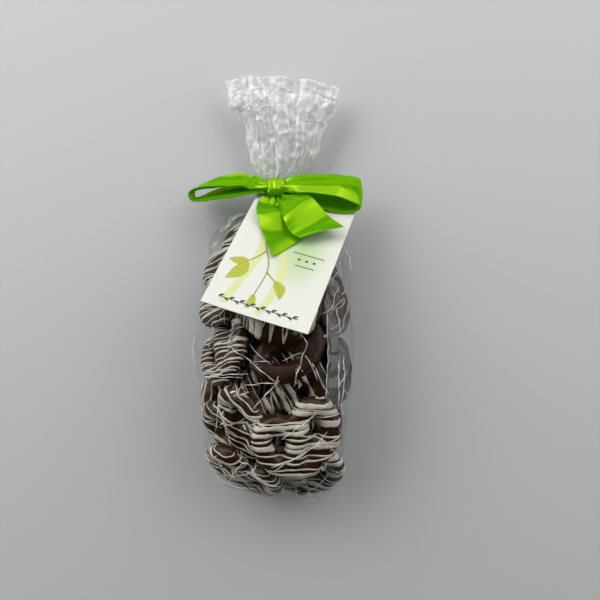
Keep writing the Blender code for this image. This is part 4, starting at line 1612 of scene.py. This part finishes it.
def add_node(tree, kind, inputs=None, **settings):
    node = tree.nodes.new(kind)
    for key, value in settings.items():
        setattr(node, key, value)
    for key, value in (inputs or {}).items():
        node.inputs[key].default_value = value
    return node


def ramp(tree, factor, stops):
    node = add_node(tree, "ShaderNodeValToRGB")
    while len(node.color_ramp.elements) < len(stops):
        node.color_ramp.elements.new(0.5)
    for element, (place, colour) in zip(node.color_ramp.elements, stops):
        element.position = place
        element.color = (*colour, 1.0)
    tree.links.new(factor, node.inputs["Fac"])
    return node.outputs["Color"]


def noise_on(tree, source, scale, detail=3.0, roughness=0.5):
    node = add_node(tree, "ShaderNodeTexNoise", {"Scale": scale, "Detail": detail, "Roughness": roughness})
    tree.links.new(source, node.inputs["Vector"])
    return node.outputs["Fac"]


def bumped(tree, shader, height, strength, distance):
    node = add_node(tree, "ShaderNodeBump", {"Strength": strength, "Distance": distance})
    tree.links.new(height, node.inputs["Height"])
    tree.links.new(node.outputs["Normal"], shader.inputs["Normal"])


def by_bunching(tree, bunched, smooth, gathered):
    """A value that runs from the smooth film's to the gathered film's."""
    node = add_node(tree, "ShaderNodeMapRange", {"To Min": smooth, "To Max": gathered})
    tree.links.new(bunched, node.inputs["Value"])
    return node.outputs["Result"]


CHOCOLATE_TONES = (
    (0.3, (0.024, 0.0080, 0.0034)),
    (0.55, (0.036, 0.0128, 0.0058)),
    (0.8, (0.054, 0.0205, 0.0102)),
)
CREAM_TONES = ((0.3, (0.58, 0.535, 0.43)), (0.7, (0.74, 0.70, 0.60)))
CARD_TONES = ((0.3, (0.755, 0.765, 0.69)), (0.7, (0.79, 0.80, 0.725)))
CARD_WASH = (0.50, 0.66, 0.34, 1.0)


def milk_chocolate():
    made, tree, shader = new_material("milk_chocolate")
    spot = add_node(tree, "ShaderNodeTexCoord").outputs["Object"]
    clouds = noise_on(tree, spot, 120.0, 4.0)
    colour = ramp(tree, clouds, CHOCOLATE_TONES)
    tree.links.new(colour, shader.inputs["Base Color"])
    shader.inputs["Roughness"].default_value = 0.26
    shader.inputs["Specular IOR Level"].default_value = 0.32
    bumped(tree, shader, noise_on(tree, spot, 900.0, 4.0), 0.35, 0.0006)
    return made


def cream_drizzle():
    made, tree, shader = new_material("cream_drizzle")
    spot = add_node(tree, "ShaderNodeTexCoord").outputs["Object"]
    colour = ramp(tree, noise_on(tree, spot, 220.0), CREAM_TONES)
    tree.links.new(colour, shader.inputs["Base Color"])
    shader.inputs["Roughness"].default_value = 0.42
    shader.inputs["Subsurface Weight"].default_value = 0.12
    shader.inputs["Subsurface Radius"].default_value = (0.0012, 0.0009, 0.0005)
    bumped(tree, shader, noise_on(tree, spot, 700.0), 0.3, 0.0004)
    return made


def clear_film():
    """Thin clear film: what lies behind shows, with a gloss that grows at a glancing view and a milky haze
    where the film is bunched."""
    made, tree, shader = new_material("clear_film")
    tree.nodes.remove(shader)
    output = tree.nodes["Material Output"]
    spot = add_node(tree, "ShaderNodeTexCoord").outputs["Object"]
    bunched = add_node(tree, "ShaderNodeAttribute", attribute_name="bunched").outputs["Fac"]
    facets = add_node(tree, "ShaderNodeTexVoronoi", {"Scale": 170.0, "Randomness": 1.0}, feature="F1")
    tree.links.new(spot, facets.inputs["Vector"])
    bump = add_node(tree, "ShaderNodeBump", {"Distance": 0.0016})
    tree.links.new(facets.outputs["Distance"], bump.inputs["Height"])
    tree.links.new(by_bunching(tree, bunched, 0.35, 0.7), bump.inputs["Strength"])
    clear = add_node(tree, "ShaderNodeBsdfTransparent", {"Color": (0.96, 0.965, 0.96, 1.0)})
    gloss = add_node(tree, "ShaderNodeBsdfGlossy", {"Color": (1.0, 1.0, 1.0, 1.0)})
    tree.links.new(by_bunching(tree, bunched, 0.07, 0.3), gloss.inputs["Roughness"])
    tree.links.new(bump.outputs["Normal"], gloss.inputs["Normal"])
    edge = add_node(tree, "ShaderNodeLayerWeight", {"Blend": 0.35})
    share = add_node(tree, "ShaderNodeMapRange")
    tree.links.new(edge.outputs["Fresnel"], share.inputs["Value"])
    tree.links.new(by_bunching(tree, bunched, 0.003, 0.14), share.inputs["To Min"])
    tree.links.new(by_bunching(tree, bunched, 0.12, 0.42), share.inputs["To Max"])
    skin = add_node(tree, "ShaderNodeMixShader")
    tree.links.new(share.outputs["Result"], skin.inputs["Fac"])
    tree.links.new(clear.outputs["BSDF"], skin.inputs[1])
    tree.links.new(gloss.outputs["BSDF"], skin.inputs[2])
    haze = add_node(tree, "ShaderNodeBsdfDiffuse", {"Color": (0.95, 0.96, 0.95, 1.0)})
    milky = add_node(tree, "ShaderNodeMixShader")
    tree.links.new(by_bunching(tree, bunched, 0.0, 0.33), milky.inputs["Fac"])
    tree.links.new(skin.outputs["Shader"], milky.inputs[1])
    tree.links.new(haze.outputs["BSDF"], milky.inputs[2])
    tree.links.new(milky.outputs["Shader"], output.inputs["Surface"])
    return made


# White of the film's folds: partly the whitening of creased film, partly painted highlight where folds and
# crumples catch the light.
def fold_whitening_and_painted_highlight():
    made, tree, shader = new_material("fold_whitening_and_painted_highlight")
    spot = add_node(tree, "ShaderNodeTexCoord").outputs["Object"]
    shader.inputs["Base Color"].default_value = (0.92, 0.93, 0.92, 1.0)
    shader.inputs["Roughness"].default_value = 0.15
    shader.inputs["Alpha"].default_value = 0.9
    bumped(tree, shader, noise_on(tree, spot, 600.0), 0.3, 0.0004)
    return made


def satin():
    """Satin that keeps its green in the shade and shines a yellower green."""
    made, tree, shader = new_material("satin")
    flat = add_node(tree, "ShaderNodeUVMap", uv_map="UVMap").outputs["UV"]
    threads = {"Scale": 1.4, "Distortion": 0.4, "Detail": 2.0}
    weave = add_node(tree, "ShaderNodeTexWave", threads, bands_direction="Y")
    tree.links.new(flat, weave.inputs["Vector"])
    shader.inputs["Base Color"].default_value = (0.088, 0.335, 0.001, 1.0)
    shader.inputs["Roughness"].default_value = 0.5
    shader.inputs["Specular IOR Level"].default_value = 0.0
    shader.inputs["Subsurface Weight"].default_value = 0.6
    shader.inputs["Subsurface Radius"].default_value = (0.25, 1.0, 0.01)
    shader.inputs["Subsurface Scale"].default_value = 0.002
    bumped(tree, shader, weave.outputs["Fac"], 0.12, 0.0001)
    shine = add_node(tree, "ShaderNodeBsdfGlossy", {"Color": (0.70, 1.0, 0.03, 1.0), "Roughness": 0.19})
    cloth = add_node(tree, "ShaderNodeMixShader", {"Fac": 0.18})
    tree.links.new(shader.outputs["BSDF"], cloth.inputs[1])
    tree.links.new(shine.outputs["BSDF"], cloth.inputs[2])
    tree.links.new(cloth.outputs["Shader"], tree.nodes["Material Output"].inputs["Surface"])
    return made


def white_card():
    """White card with a soft green wash towards its upper right."""
    made, tree, shader = new_material("white_card")
    flat = add_node(tree, "ShaderNodeUVMap", uv_map="UVMap").outputs["UV"]
    fibres = noise_on(tree, flat, 4.0, 4.0, 0.7)
    white = ramp(tree, fibres, CARD_TONES)
    upper_right = {"Location": (-1.9, -1.5, 0.0), "Scale": (0.056, 0.036, 1.0)}
    centre = add_node(tree, "ShaderNodeMapping", upper_right)
    tree.links.new(flat, centre.inputs["Vector"])
    blot = add_node(tree, "ShaderNodeTexGradient", gradient_type="SPHERICAL")
    tree.links.new(centre.outputs["Vector"], blot.inputs["Vector"])
    wash = add_node(tree, "ShaderNodeMix", data_type="RGBA")
    soft = add_node(tree, "ShaderNodeMapRange", interpolation_type="SMOOTHSTEP")
    tree.links.new(blot.outputs["Fac"], soft.inputs["Value"])
    tree.links.new(soft.outputs["Result"], wash.inputs["Factor"])
    tree.links.new(white, wash.inputs[6])
    wash.inputs[7].default_value = CARD_WASH
    tree.links.new(wash.outputs[2], shader.inputs["Base Color"])
    shader.inputs["Roughness"].default_value = 0.55
    bumped(tree, shader, fibres, 0.15, 0.0001)
    return made


def printed_ink():
    made, tree, shader = new_material("printed_ink")
    ink = add_node(tree, "ShaderNodeAttribute", attribute_name="ink")
    tree.links.new(ink.outputs["Color"], shader.inputs["Base Color"])
    shader.inputs["Roughness"].default_value = 0.5
    return made


# The stage


def floor():
    bpy.ops.mesh.primitive_plane_add(size=3.0, location=(0, 0, 0))
    plane = bpy.context.active_object
    plane.name = "floor"
    made, _, shader = new_material("pale_floor")
    shader.inputs["Base Color"].default_value = (0.60, 0.61, 0.61, 1.0)
    shader.inputs["Roughness"].default_value = 0.75
    set_material(plane, made)


def area_light(name, place, size, power):
    """A soft light that looks at the frame's origin."""
    data = bpy.data.lights.new(name, "AREA")
    data.shape = "RECTANGLE"
    data.size, data.size_y = size
    data.energy = power
    lamp = bpy.data.objects.new(name, data)
    bpy.context.scene.collection.objects.link(lamp)
    lamp.location = place
    lamp.rotation_euler = (Vector() - Vector(place)).to_track_quat("-Z", "Y").to_euler()


def lights_and_camera():
    for light in LIGHTS:
        area_light(*light)
    world = bpy.data.worlds.new("room")
    bpy.context.scene.world = world
    world.use_nodes = True
    background = world.node_tree.nodes["Background"]
    background.inputs["Color"].default_value = ROOM_COLOUR
    background.inputs["Strength"].default_value = ROOM_STRENGTH
    data = bpy.data.cameras.new("camera")
    data.lens = CAMERA_LENS
    data.sensor_width = CAMERA_SENSOR
    camera = bpy.data.objects.new("camera", data)
    bpy.context.scene.collection.objects.link(camera)
    camera.location = (CAMERA_PLACE - MIDDLE) * MM
    bpy.context.scene.camera = camera
    bpy.context.scene.view_settings.view_transform = "Standard"


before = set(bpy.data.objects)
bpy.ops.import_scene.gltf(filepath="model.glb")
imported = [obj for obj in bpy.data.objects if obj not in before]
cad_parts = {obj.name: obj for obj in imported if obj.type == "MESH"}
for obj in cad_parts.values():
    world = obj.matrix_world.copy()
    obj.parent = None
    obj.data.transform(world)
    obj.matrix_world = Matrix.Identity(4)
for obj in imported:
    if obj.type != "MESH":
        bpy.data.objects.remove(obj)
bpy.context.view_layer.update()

lights_and_camera()
floor()

pretzels, drizzle = bag_contents()
keep_off_table(pretzels, PRETZEL_GAP)
keep_off_table(drizzle, DRIZZLE_GAP)
film = film_sheet(pretzels)
fit_film(film, pretzels)
smooth_by_angle(film, FILM_CREASE_ANGLE)
folds = film_folds(film)
film = join([film, film_flap(film)], "film")
ribbon = bow()
tag_card = card()
ink = tag_print()

for piece, look, nodes, slot in (
    (pretzels, milk_chocolate(), ("filled_bag",), "drizzled_chocolate"),
    (drizzle, cream_drizzle(), ("filled_bag",), "drizzled_chocolate"),
    (film, clear_film(), ("filled_bag", "film_top"), "clear_film"),
    # The folds' white is partly painted highlight.
    (folds, fold_whitening_and_painted_highlight(), ("filled_bag", "film_top"), "clear_film"),
    (
        ribbon,
        satin(),
        ("ribbon_band", "bow_knot", "bow_loop_left", "bow_loop_right", "bow_tail_left", "bow_tail_right"),
        "satin_ribbon",
    ),
    (tag_card, white_card(), ("tag",), "card"),
    (ink, printed_ink(), ("tag",), "card"),
):
    to_frame(piece)
    set_material(piece, look)
    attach(piece, "root")
    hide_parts(*nodes)
